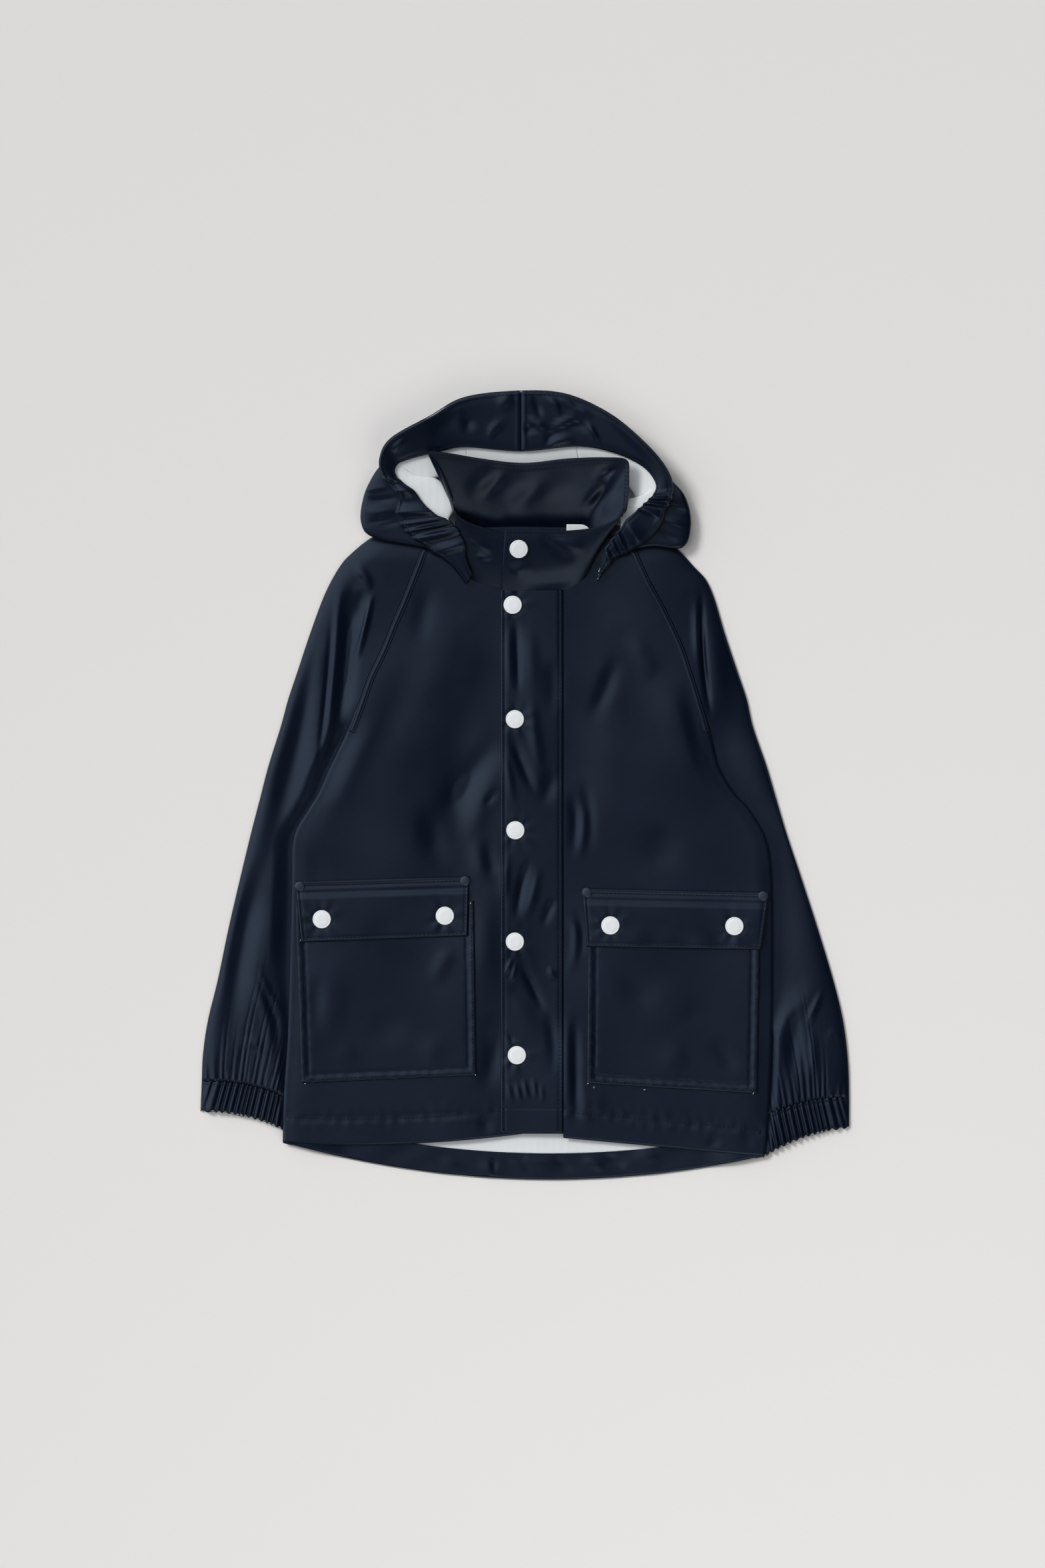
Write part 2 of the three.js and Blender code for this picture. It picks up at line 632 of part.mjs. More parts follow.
// Hood, laid open behind the collar. Each section runs from the free edge, over the facing's
// inner edge, down into the hood, out to its widest fold, and back underneath to the neck seam.
const HOOD_COLUMNS = ["lipX", "lipY", "lipZ", "facingX", "facingY", "facingZ",
  "foldX", "foldY", "layZ", "neckX", "neckY", "neckZ"];
const hoodSections = table(HOOD_COLUMNS, [
  [-47.8, 163.6, 8.6, -42.4, 171.7, 9.6, -50, 168, 6.75, -56, 176, 6.75],
  [-60.2, 179.3, 10.6, -47.3, 184.1, 12.2, -64, 181, 6.75, -57.5, 184, 6.75],
  [-74.3, 189.5, 11.2, -49.4, 198.2, 15.6, -79, 192, 6.75, -57.5, 197, 5.8],
  [-94.2, 204.7, 14, -60, 213.3, 16.5, -122, 201, 6.4, -57.5, 206, 4.6],
  [-102.9, 217.6, 16, -76, 222, 18.5, -133, 213, 5.6, -57.2, 210, 4.2],
  [-102.9, 235.4, 19, -90.5, 238.7, 19, -131, 234.4, 5, -55, 212.8, 3],
  [-114.8, 250, 21, -103.6, 250, 19, -123, 252, 4, -49.5, 214.2, 1.6],
  [-116.9, 265, 24, -103.7, 258.7, 18.5, -115, 262, 2, -43, 214.6, 1],
  [-107.7, 280.8, 24, -94.8, 263.5, 18, -102, 274, 0.5, -35, 214.6, 0.5],
  [-76.4, 298.6, 22, -66, 271, 17, -72, 288, 0.5, -26, 214.6, 0.5],
  [-48.3, 313.7, 20, -47.3, 273.8, 16.5, -47, 298, 0.5, -15, 214.6, 0.5],
  [-3, 318.7, 20, -3, 270.5, 16, -3, 300, 0.5, 0, 214.6, 0.5],
  [34.8, 315.9, 20, 41.9, 274.3, 16.5, 38, 299, 0.5, 15, 214.6, 0.5],
  [70.5, 299.2, 22, 71, 269.5, 17, 72, 287, 0.5, 26, 214.6, 0.5],
  [98.6, 275.4, 24, 94.2, 258.7, 18, 99, 268, 0.5, 36, 214.6, 0.5],
  [114.8, 255.4, 23, 105.2, 245.7, 18.5, 118, 249, 3.4, 44, 214.4, 1.4],
  [119.6, 239.2, 20, 104, 236, 19, 131, 233, 5, 53, 213.6, 2.6],
  [113.7, 223.6, 18, 94.2, 225.7, 18.5, 135, 211, 5.6, 57.4, 210, 4.2],
  [105, 204.7, 15, 87, 219.5, 17, 128, 193, 6.4, 58.6, 205, 4.8],
  [85.6, 190.6, 11.4, 77.5, 205.7, 14.4, 102, 194, 7, 59, 196, 5.9],
  [71.6, 183, 10.6, 67.2, 190.6, 12, 76, 186.5, 6.75, 59, 187, 6.75],
  [59.1, 165.8, 8.6, 60.2, 174.4, 9.6, 64, 172, 6.75, 58, 178, 6.75],
]);

// One value at a place between sections, on a smooth curve through them
function smoothAt(rows, name, at) {
  const k = clamp(Math.floor(at), 0, rows.length - 2);
  const t = at - k;
  const value = (i) => rows[clamp(i, 0, rows.length - 1)][name];
  const [a, b, c, d] = [value(k - 1), value(k), value(k + 1), value(k + 2)];
  const curve = 2 * a - 5 * b + 4 * c - d + (3 * b - a - 3 * c + d) * t;
  return b + 0.5 * t * (c - a + t * curve);
}

function hoodSection(at) {
  const v = Object.fromEntries(HOOD_COLUMNS.map((name) => [name, smoothAt(hoodSections, name, at)]));
  const lip = new THREE.Vector3(v.lipX, v.lipY, v.lipZ);
  const facing = new THREE.Vector3(v.facingX, v.facingY, v.facingZ);
  const neck = new THREE.Vector3(v.neckX, v.neckY, Math.max(v.neckZ, CLOTH / 2));
  const layZ = Math.max(v.layZ, CLOTH / 2);
  const low = lerp(layZ, v.facingZ, HOOD.upper);
  const fold = new THREE.Vector3(v.foldX, v.foldY, lerp(layZ, low, 0.5));
  const inward = facing.clone().sub(lip).setZ(0).normalize();
  const outward = fold.clone().sub(neck).setZ(0).normalize();
  return { lip, facing, neck, fold, inward, outward, layZ, low };
}

// The shell's middle points across one section
function hoodShellPoints(at) {
  const { lip, facing, neck, fold, inward, outward, layZ, low } = hoodSection(at);
  const tabward = smoothstep(Math.abs(at - HOOD.centre), HOOD.tabFrom, HOOD.tabTo);
  const reach = lerp(HOOD.throat, HOOD.throatAtTabs, tabward);
  const throat = facing.clone().addScaledVector(inward, reach);
  const down = throat.clone().setZ(lerp(low, facing.z, 0.55));
  const under = throat.clone().addScaledVector(inward, -HOOD.lip).setZ(low);
  const upperFold = fold.clone().addScaledVector(outward, -HOOD.turn).setZ(low);
  const lowerFold = fold.clone().addScaledVector(outward, -HOOD.turn).setZ(layZ);
  const besideNeck = neck.clone().lerp(lowerFold, HOOD.besideNeck).setZ(layZ);
  return [
    lip,
    lip.clone().lerp(facing, 0.5),
    facing,
    down,
    under,
    under.clone().lerp(upperFold, 0.5),
    upperFold,
    fold,
    lowerFold,
    lowerFold.clone().lerp(besideNeck, 0.5),
    besideNeck,
    neck,
  ];
}

function hoodPanel(from, to, count) {
  return clothWall(steps(count).map((t) => hoodShellPoints(lerp(from, to, t))), CLOTH);
}

// Facing of the hood's free edge: a casing for elastic at both sides, gathered there
function gatherHeight(at) {
  const sideward = Math.abs(at - HOOD.centre);
  const begun = smoothstep(sideward, HOOD.gatherFrom, HOOD.gatherFrom + 0.8);
  const share = begun * (1 - smoothstep(sideward, HOOD.gatherTo - 0.6, HOOD.gatherTo));
  return HOOD.gatherDepth * share * (0.5 - 0.5 * Math.cos(2 * Math.PI * HOOD.gathersPerSection * at));
}

function facingPanel(stops) {
  const grid = stops.map((at) => {
    const { lip, facing } = hoodSection(at);
    return [0, 0.5, 1].map((w) => {
      const p = lip.clone().lerp(facing, w);
      p.z += HOOD.facingLift + gatherHeight(at) * Math.sin(Math.PI * lerp(0.2, 0.8, w));
      return p;
    });
  });
  return clothWall(grid, CLOTH);
}

function facingStops(from, to) {
  const stops = [from];
  while (stops.at(-1) < to - 1e-6) {
    const at = stops.at(-1);
    const sideward = Math.abs(at - HOOD.centre);
    const gathered = sideward > HOOD.gatherFrom - 0.2 && sideward < HOOD.gatherTo;
    stops.push(Math.min(at + (gathered ? 1 / 8 : 1 / 2), to));
  }
  return stops;
}

// Blank size label, sewn in at the back neck
function neckLabel() {
  const grid = [0, 0.5, 1].map((w) =>
    [0, 0.5, 1].map((u) => {
      const x = lerp(LABEL.left, LABEL.right, u);
      return new THREE.Vector3(x, lerp(LABEL.top, LABEL.bottom, w), CLOTH + SEAM + LABEL.wall / 2);
    }),
  );
  return clothWall(grid, LABEL.wall);
}

// Press studs and rivets, turned
function turned(profile, count) {
  const points = profile.map(([r, h]) => new THREE.Vector2(r, h));
  const geometry = new THREE.LatheGeometry(points, count);
  geometry.rotateX(Math.PI / 2);
  return geometry;
}

function cap(size) {
  const { radius, rim, dome, sides: count } = size;
  const crown = [radius * 0.72, rim + (dome - rim) * 0.72];
  return turned([[0, 0], [radius, 0], [radius, rim], crown, [0, dome]], count);
}

const placketSnaps = table(["x", "y"], [
  [-9.8, 146.6],
  [-8, 54],
  [-7.6, -35.9],
  [-8, -126.1],
  [-6.4, -218],
]);
const flapSnaps = table(["x", "y"], [
  [-164.3, -107.9],
  [-64.7, -105.1],
  [69.3, -112.9],
  [169.7, -113.5],
]);
const rivets = table(["x", "y"], [
  [-182.3, -81.3],
  [-48.5, -77],
  [50.3, -86.3],
  [193, -89.3],
]);
const COLLAR_SNAP = { x: -4.9, y: 191.7, z: 16.6, lean: 0.18 };

for (const [name, side] of Object.entries(sides)) {
  addPiece("front_" + name, frontPanel(side), NAVY);
  addPiece("sleeve_" + name + "_front", sleeveFront(side), NAVY);
  addPiece("sleeve_" + name + "_back", sleeveBack(side), NAVY);
  addPiece("raglan_fell_" + name, fellStrip(side), NAVY);
  addPiece("cuff_" + name + "_front", cuffFront(side, cuffHems[name]), NAVY);
  addPiece("cuff_" + name + "_back", cuffBack(side, cuffHems[name]), NAVY);
}
addPiece("back", backPanel(), NAVY);
addPiece("back_hem_turnup", hemBand(), NAVY);
addPiece("placket", placket(), NAVY);
["right", "left"].forEach((name, i) => {
  addPiece("pocket_" + name, pocket(pocketCorners[i]), NAVY_DEEP);
  addPiece("pocket_flap_" + name, flap(flapCorners[i]), NAVY_DEEP);
});
addPiece("collar", collar(), NAVY);
addPiece("neck_label", neckLabel(), WHITE, 0.8);
addPiece("hood_side_right", hoodPanel(1, 10 - HOOD.seam, 22), NAVY_DEEP);
addPiece("hood_centre", hoodPanel(10 + HOOD.seam, 12 - HOOD.seam, 5), NAVY_DEEP);
addPiece("hood_side_left", hoodPanel(12 + HOOD.seam, 20, 20), NAVY_DEEP);
addPiece("hood_facing_right", facingPanel(facingStops(0, HOOD.centre - HOOD.seam)), NAVY_DEEP);
addPiece("hood_facing_left", facingPanel(facingStops(HOOD.centre + HOOD.seam, 21)), NAVY_DEEP);

placketSnaps.forEach(({ x, y }, i) => {
  const snap = addPiece("snap_placket_" + (i + 1), cap(SNAP), WHITE, 0.3);
  snap.position.set(x, y, bodyTop(x, y) + PLACKET.lift + PLACKET.wall + SNAP.lift);
});
flapSnaps.forEach(({ x, y }, i) => {
  const snap = addPiece("snap_flap_" + (i + 1), cap(SNAP), WHITE, 0.3);
  snap.position.set(x, y, bodyTop(x, y) + flapUnderside(1) + FLAP_WALL + SNAP.lift);
});
rivets.forEach(({ x, y }, i) => {
  const rivet = addPiece("rivet_" + (i + 1), cap(RIVET), NAVY_DEEP, 0.3);
  rivet.position.set(x, y, bodyTop(x, y) + flapUnderside(0) + FLAP_WALL + RIVET.lift);
});

const collarSnap = addPiece("snap_collar", cap(SNAP), WHITE, 0.3);
collarSnap.rotation.x = COLLAR_SNAP.lean;
collarSnap.position.set(COLLAR_SNAP.x, COLLAR_SNAP.y, COLLAR_SNAP.z);

export default coat;
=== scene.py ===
# A child's hooded raincoat in navy coated cloth, laid flat on a pale table, seen from straight above.
# The pattern's tables and sizes are in millimetres, and each mesh is made in metres.
# "Right" and "left" are the wearer's, so the right side is the one with x below nought.
import math

import bpy
import numpy as np
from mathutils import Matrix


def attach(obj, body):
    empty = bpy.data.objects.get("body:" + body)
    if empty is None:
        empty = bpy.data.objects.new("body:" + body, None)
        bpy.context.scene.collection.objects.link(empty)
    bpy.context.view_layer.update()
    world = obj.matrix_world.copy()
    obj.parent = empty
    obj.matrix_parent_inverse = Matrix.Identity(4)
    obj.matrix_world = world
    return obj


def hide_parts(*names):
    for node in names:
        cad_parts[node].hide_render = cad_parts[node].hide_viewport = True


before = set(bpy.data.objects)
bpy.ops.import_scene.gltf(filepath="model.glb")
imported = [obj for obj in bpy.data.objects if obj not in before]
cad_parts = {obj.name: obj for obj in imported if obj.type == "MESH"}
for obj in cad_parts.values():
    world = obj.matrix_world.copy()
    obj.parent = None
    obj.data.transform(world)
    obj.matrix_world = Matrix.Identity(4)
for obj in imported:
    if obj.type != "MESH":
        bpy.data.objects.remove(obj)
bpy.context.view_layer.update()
MM = 0.001

# Pattern outlines: where the maker's pieces meet once the coat lies flat. A sleeve's sections run
# from the neck to the cuff seam, and the first twelve end on the raglan seam. The body's sections
# go on from there down its side edge, each with the height of its centre line.


def table(columns, rows):
    return dict(zip(columns.split(), np.array(rows, float).T))


SLEEVE_COLUMNS = "outer_x outer_y inner_x inner_y"
RAGLAN_ROWS = 12
LAP = 0.1
sleeve_right = table(SLEEVE_COLUMNS, [
    [-62, 219, -56.5, 208.5],
    [-82, 217, -72, 203],
    [-104, 212, -83, 193],
    [-125, 201, -89, 178],
    [-140, 189, -95, 163],
    [-150, 178, -101, 148],
    [-162, 156, -108, 132],
    [-174, 124, -117, 110],
    [-185, 91, -127, 89],
    [-192, 70, -133, 72],
    [-198, 48, -142, 48],
    [-208, 16, -157, 16],
    [-215, -11, -158, -6],
    [-222, -38, -155, -33],
    [-230, -71, -152, -65],
    [-240, -114, -153, -109],
    [-249, -157, -162, -154],
    [-257, -190, -173, -192],
    [-261, -217, -181, -227],
    [-262, -239, -187, -255],
])
sleeve_left = table(SLEEVE_COLUMNS, [
    [62, 219, 56.5, 208.5],
    [82, 217, 74, 202],
    [107, 206, 88, 194],
    [125, 191, 96, 179],
    [137, 178, 103, 164],
    [147, 167, 112, 148],
    [154, 151, 121, 130],
    [162, 124, 129, 112],
    [173, 91, 136, 91],
    [180, 70, 142, 72],
    [185, 48, 149, 48],
    [196, 16, 157, 16],
    [204, -11, 161, -6],
    [212, -38, 160, -33],
    [223, -71, 159, -65],
    [237, -114, 160, -111],
    [250, -157, 168, -157],
    [258, -190, 175, -200],
    [262, -222, 183, -238],
    [263, -252, 188, -270],
])
BODY_COLUMNS = "side_x side_y centre_y"
body_right = table(BODY_COLUMNS, [
    [-167, -6, -6],
    [-175, -19, -19],
    [-187, -42, -42],
    [-188.5, -79, -78],
    [-190, -139, -136],
    [-192, -204, -199],
    [-195, -249, -243],
    [-196, -289, -280.5],
])
body_left = table(BODY_COLUMNS, [
    [170, -6, -6],
    [181, -18, -18],
    [195, -42, -42],
    [200, -71, -71],
    [201, -139, -137],
    [200, -204, -200],
    [197, -276, -262],
    [194, -300, -285],
])
RAGLAN_CENTRE_Y = [158.2, 152, 145, 138, 130, 120, 108, 93, 77, 62, 42, 14]
NECK_SHARE = [1, 0.75, 0.5, 0.3, 0.12, 0, 0, 0, 0, 0, 0, 0]
sides = {
    "right": {"hand": -1, "sleeve": sleeve_right, "body": body_right, "centre_x": 7, "hem_sag": 5, "neck_bend": 0.7,
        "rim_reach": 16, "tuck_reach": (3, 18)},
    "left": {"hand": 1, "sleeve": sleeve_left, "body": body_left, "centre_x": 31.35, "hem_sag": 0, "neck_bend": 1.3,
        "rim_reach": 44, "tuck_reach": (7, 44)},
}


def spline(values, at):
    """A smooth curve through values that lie at 0, 1, 2 and so on"""
    values = np.asarray(values, float)
    at = np.asarray(at, float)
    last = len(values) - 1
    k = np.clip(np.floor(at).astype(int), 0, last - 1)
    t = (at - k).reshape(at.shape + (1,) * (values.ndim - 1))
    a, b, c, d = (values[np.clip(k + i, 0, last)] for i in (-1, 0, 1, 2))
    return b + 0.5 * t * (c - a + t * (2 * a - 5 * b + 4 * c - d + t * (3 * b - a - 3 * c + d)))


def smoothstep(value, low, high):
    t = np.clip((value - low) / (high - low), 0, 1)
    return t * t * (3 - 2 * t)


def mixed(a, b, share):
    return a + (b - a) * share


for side in sides.values():
    sleeve, body = side["sleeve"], side["body"]
    below = np.zeros(len(body["side_x"]))
    side["edge_x"] = np.concatenate([sleeve["inner_x"][:RAGLAN_ROWS] + side["hand"] * LAP, body["side_x"]])
    side["edge_y"] = np.concatenate([sleeve["inner_y"][:RAGLAN_ROWS], body["side_y"]])
    side["centre_y"] = np.concatenate([RAGLAN_CENTRE_Y, body["centre_y"]])
    side["neck"] = np.concatenate([NECK_SHARE, below])
    fine = np.linspace(0, len(side["edge_x"]) - 1, 400)
    side["edge"] = np.array([spline(side["edge_x"], fine), spline(side["edge_y"], fine)])


def edge_at(side, y):
    """The x of the body's edge at a height"""
    x_fine, y_fine = side["edge"]
    return np.interp(-y, -y_fine, x_fine)


# How the coat lies: the height of its upper layer over the table, with the body's main folds. Soft
# coated cloth bends in long rounded ridges and troughs that run out to nothing, and it stays
# gently uneven between them. A fold's row is three points along it, its half width and its height.
LOFT = 5.9
FOLD_TOP = 2.3
SOFTNESS = 1.5
FOLD_STRENGTH = 1.05
PRESSED = 2.7
LOWEST_TOP = 2.2
FOLD_COLUMNS = "from_x from_y by_x by_y to_x to_y width height"
body_folds = table(FOLD_COLUMNS, [
    [-100, 150, -104, 60, -122, -70, 24, 1.5],
    [-150, 60, -160, 0, -172, -70, 18, 1.1],
    [-58, 120, -56, 20, -62, -90, 13, -1.2],
    [60, 140, 68, 60, 66, -60, 16, 0.9],
    [118, 120, 120, 40, 112, -70, 26, 1.3],
    [-112, 105, -143, 29, -172, -21, 14, 1.3],
    [-88, 126, -103, 66, -136, 2, 13, -1.0],
    [-60, 146, -65, 105, -76, 62, 14, 0.8],
    [-76, 169, -82, 140, -87, 107, 7, -0.9],
    [-45, 126, -52, 78, -83, 8, 12, 0.7],
    [-16, 48, -44, 8, -72, -28, 8, -2.0],
    [-34, 60, -50, 0, -52, -90, 12, -0.9],
    [-69, -13, -75, -40, -60, -67, 8, -1.5],
    [-24, 18, -38, -18, -46, -56, 8, 1.3],
    [-22, -2, -28, -10, -33, -17, 3, -0.9],
    [-39, -38, -37, -60, -29, -81, 6, 1.0],
    [-31, -38, -28, -60, -23, -75, 5, -1.0],
    [-35, -76, -33, -127, -35, -180, 8, 0.9],
    [-24, -178, -25, -216, -34, -252, 7, -1.8],
    [-32, -264, -32, -273, -25, -282, 5, -1.0],
    [77, 109, 65, 78, 53, 49, 6, -1.2],
    [82, 126, 96, 105, 107, 86, 7, 0.9],
    [128, 86, 138, 49, 150, 18, 6, -1.1],
    [109, 95, 127, 45, 152, -5, 12, 1.1],
    [121, -29, 111, -50, 107, -73, 12, -0.9],
    [36, -5, 41, -27, 38, -60, 4.5, -1.5],
    [46, -13, 48, -33, 43, -62, 4, 0.9],
    [45, 8, 52, -21, 51, -60, 5, -1.0],
    [35, -104, 42, -125, 35, -156, 4, 1.1],
    [38, -100, 46, -121, 41, -146, 4, -0.9],
    [40, -185, 41, -229, 41, -283, 4, -1.9],
    [35, -173, 35, -229, 36, -281, 5, 1.3],
    [46, -239, 49, -258, 48, -281, 5, 0.7],
    [51, -245, 59, -258, 63, -270, 6, 0.6],
    [190, -266, 185, -283, 179, -295, 6, -0.8],
    [152, -283, 153, -289, 154, -293, 5, -0.6],
    [-159, -136, -156, -171, -160, -216, 9, 0.6],
    [-170, -150, -169, -174, -170, -206, 6, -0.6],
    [-111, -178, -112, -195, -109, -216, 12, -0.6],
    [-56, -130, -67, -144, -74, -164, 6, 0.8],
    [-70, -195, -75, -215, -82, -227, 8, 0.5],
    [-133, -209, -146, -218, -156, -229, 8, 0.4],
    [82, -142, 90, -166, 109, -181, 10, -0.7],
    [100, -154, 121, -173, 134, -191, 14, 0.6],
    [148, -204, 163, -220, 169, -235, 6, -0.6],
    [132, -214, 121, -220, 109, -233, 8, 0.5],
    [-8, 139, -6, 105, -5, 70, 3.5, -1.6],
    [-14, 132, -13, 101, -11, 70, 4, 0.9],
    [2, 136, 5, 101, 8, 62, 6, 0.9],
    [19, 105, 23, 82, 21, 53, 6, -0.9],
    [-12, 45, -3, 20, 12, -13, 4.5, -1.8],
    [5, 78, 8, 41, 15, 2, 5, 1.1],
    [-18, 29, -13, 8, -9, -21, 4, 0.8],
    [24, 14, 19, -2, 14, -19, 6, -1.1],
    [5, -56, -3, -83, -7, -112, 4, -1.6],
    [11, -62, 7, -87, -1, -110, 4, 1.0],
    [25, -89, 19, -102, 14, -116, 4, -1.0],
    [-13, -50, -16, -75, -15, -95, 4, 0.8],
    [-10, -139, -13, -146, -17, -156, 2, 1.0],
    [-7, -141, -9, -152, -12, -162, 2, 0.8],
    [-4, -140, 6, -162, 18, -185, 4, -1.6],
    [16, -181, 23, -206, 22, -239, 5, -1.2],
    [-11, -166, -1, -185, 11, -212, 8, 0.8],
    [18, -146, 22, -152, 24, -158, 3, 0.8],
    [-16, -198, -11, -204, -12, -212, 2.5, -0.8],
    [-8, -239, -5, -249, -4, -258, 2.2, 0.9],
    [-2, -235, 1, -247, 3, -256, 2.2, 0.9],
    [6, -235, 8, -245, 9, -256, 2.2, 0.7],
    [-14, -239, -12, -249, -9, -258, 2.2, 0.6],
    [13, -239, 14, -249, 14, -258, 2.2, 0.5],
])
sleeve_folds = table(FOLD_COLUMNS, [
    [-151, 168, -154, 111, -162, 22, 4, 1.3],
    [-141, 176, -144, 105, -156, 10, 6, -3.8],
    [-157, 146, -161, 78, -170, 0, 3, -1.4],
    [-163, 126, -170, 78, -180, -5, 6, 1.2],
    [-162, 142, -184, 37, -218, -90, 9, -3.2],
    [-208, -40, -230, -126, -242, -226, 8, -3.4],
    [-200, -90, -210, -130, -222, -200, 12, 1.2],
    [-142, 182, -131, 171, -124, 158, 2.6, 2.0],
    [-124, 158, -130, 130, -138, 97, 3, 2.2],
    [-134, 161, -134, 146, -136, 126, 5, -1.5],
    [-218, -146, -207, -169, -194, -192, 2.2, 1.8],
    [-223, -150, -209, -187, -205, -226, 5, 1.8],
    [-214, -140, -204, -185, -196, -236, 7, -2.4],
    [-233, -211, -220, -208, -212, -223, 3, 1.2],
    [145, 165, 145, 107, 152, 51, 3.2, -3.2],
    [140, 157, 140, 124, 141, 95, 4, 1.4],
    [154, 146, 156, 101, 161, 49, 7, 1.2],
    [245, -162, 235, -181, 229, -196, 2.4, 1.7],
    [222, -173, 218, -208, 219, -245, 6, -2.2],
    [231, -193, 234, -220, 231, -247, 4, 1.2],
    [244, -212, 252, -200, 258, -212, 3, 1.0],
])


def folded(folds, x, y):
    """Height that a table of folds adds at each point"""
    total = np.zeros(np.shape(x))
    pieces = np.linspace(0, 1, 11)
    for row in np.array(list(folds.values())).T:
        start, by, end = row[0:2], row[2:4], row[4:6]
        width, height = row[6] * mixed(1, SOFTNESS, smoothstep(row[6], 3, 8)), row[7] * FOLD_STRENGTH
        control = 2 * by - (start + end) / 2
        t = pieces[:, None]
        line = (1 - t) ** 2 * start + 2 * t * (1 - t) * control + t**2 * end
        reach = 2.5 * width
        low, high = line.min(0) - reach, line.max(0) + reach
        near = (x > low[0]) & (x < high[0]) & (y > low[1]) & (y < high[1])
        if not near.any():
            continue
        px, py = x[near], y[near]
        away = np.full(px.shape, 1e9)
        along = np.zeros(px.shape)
        for k in range(len(line) - 1):
            run = line[k + 1] - line[k]
            share = np.clip(((px - line[k, 0]) * run[0] + (py - line[k, 1]) * run[1]) / (run @ run), 0, 1)
            off = np.hypot(px - line[k, 0] - share * run[0], py - line[k, 1] - share * run[1])
            closer = off < away
            away[closer] = off[closer]
            along[closer] = (pieces[k] + share / (len(line) - 1))[closer]
        ends = smoothstep(along, 0, 0.45) * (1 - smoothstep(along, 0.55, 1))
        total[near] += height * ends * np.exp(-1.6 * (away / width) ** 2)
    return total


def uneven(x, y, size, depth, seed):
    """Slight unevenness of cloth that lies free, as a sum of seeded waves"""
    draw = np.random.default_rng(seed)
    total = np.zeros(np.shape(x))
    for _ in range(10):
        turn, phase = draw.uniform(0, 2 * math.pi, 2)
        wave = size * draw.uniform(0.6, 1.7)
        total += np.sin(2 * math.pi * (x * math.cos(turn) + y * math.sin(turn)) / wave + phase)
    return depth * total / 3


def settled(y):
    """1 where the body lies on the sleeves, 0 up at the raglan seams"""
    return 1 - smoothstep(y, 32, 72)


def loft(y):
    return LOFT - 2.7 * smoothstep(y, 182, 207)


def relief(x, y):
    """All that the upper layer's height adds to its loft"""
    return folded(body_folds, x, y) + folded(sleeve_folds, x, y) + uneven(x, y, 80, 0.5, 3)


def body_top(x, y):
    inside = np.minimum(edge_at(sides["left"], y) - x, x - edge_at(sides["right"], y))
    drop = 0.5 * settled(y) * (1 - smoothstep(inside, 0, 12))
    calm = 1 + settled(y) * (smoothstep(inside, 2, 22) - 1)
    return np.maximum(loft(y) - drop + calm * relief(x, y), LOWEST_TOP)


# Back of the body: one panel of knit cloth with a polyurethane coat outside, its white knit face
# inside. It lies coat side down on the table and over the tucked sleeves, and its hem drops
# below the front hem. A navy neck tape covers its top edge inside.
WALL = 0.8
BACK_NECK_RISE = 3
BACK_HEM_DROP = 24.5
NECK_TAPE_WIDTH = 12
NECK_TAPE_ENDS = 54


def linear(hex_colour):
    """A hex sRGB colour as linear numbers"""
    parts = [int(hex_colour[i : i + 2], 16) / 255 for i in (1, 3, 5)]
    return [p / 12.92 if p < 0.04045 else ((p + 0.055) / 1.055) ** 2.4 for p in parts] + [1]


def add(tree, kind, inputs=None, **settings):
    """One node with its settings, and its inputs as values or as another node's output"""
    made = tree.nodes.new(kind)
    for name, value in settings.items():
        setattr(made, name, value)
    for name, value in (inputs or {}).items():
        if isinstance(value, bpy.types.NodeSocket):
            tree.links.new(value, made.inputs[name])
        else:
            made.inputs[name].default_value = value
    return made


def material(name, **surface):
    """An empty material with a Principled surface, its node tree and that surface"""
    made = bpy.data.materials.new(name)
    made.use_nodes = True
    made.node_tree.nodes.clear()
    surface = add(made.node_tree, "ShaderNodeBsdfPrincipled", surface)
    add(made.node_tree, "ShaderNodeOutputMaterial", {"Surface": surface.outputs[0]})
    return made, made.node_tree, surface


def coated_cloth(name, dark, light, roughness):
    """Polyurethane-coated knit: smooth with a satin gloss, a fine cast grain, and slow shifts of tone"""
    made, tree, surface = material(name, IOR=1.5)
    surface.inputs["Specular Tint"].default_value = (0.66, 0.8, 1.0, 1.0)
    place = add(tree, "ShaderNodeTexCoord").outputs["Object"]
    tone = add(tree, "ShaderNodeTexNoise", {"Vector": place, "Scale": 1 / 0.06, "Detail": 3.0})
    shade = add(tree, "ShaderNodeMix", {"Factor": tone.outputs[0]}, data_type="RGBA")
    shade.inputs[6].default_value = linear(dark)
    shade.inputs[7].default_value = linear(light)
    tree.links.new(shade.outputs[2], surface.inputs["Base Color"])
    gloss = add(tree, "ShaderNodeMapRange", {"Value": tone.outputs[0]})
    gloss.inputs["To Min"].default_value = roughness - 0.05
    gloss.inputs["To Max"].default_value = roughness + 0.06
    tree.links.new(gloss.outputs[0], surface.inputs["Roughness"])
    # The cast grain is about 0.3 mm and is drawn at 0.7 mm, so that it shows at all
    grain = add(tree, "ShaderNodeTexNoise", {"Vector": place, "Scale": 1 / 0.0007, "Detail": 2.0})
    slack = add(tree, "ShaderNodeTexNoise", {"Vector": place, "Scale": 1 / 0.011, "Detail": 2.0})
    soft = add(tree, "ShaderNodeBump", {"Height": slack.outputs[0], "Strength": 0.12, "Distance": 0.0008})
    fine = {"Height": grain.outputs[0], "Normal": soft.outputs[0], "Strength": 0.18, "Distance": 0.0001}
    tree.links.new(add(tree, "ShaderNodeBump", fine).outputs[0], surface.inputs["Normal"])
    return made


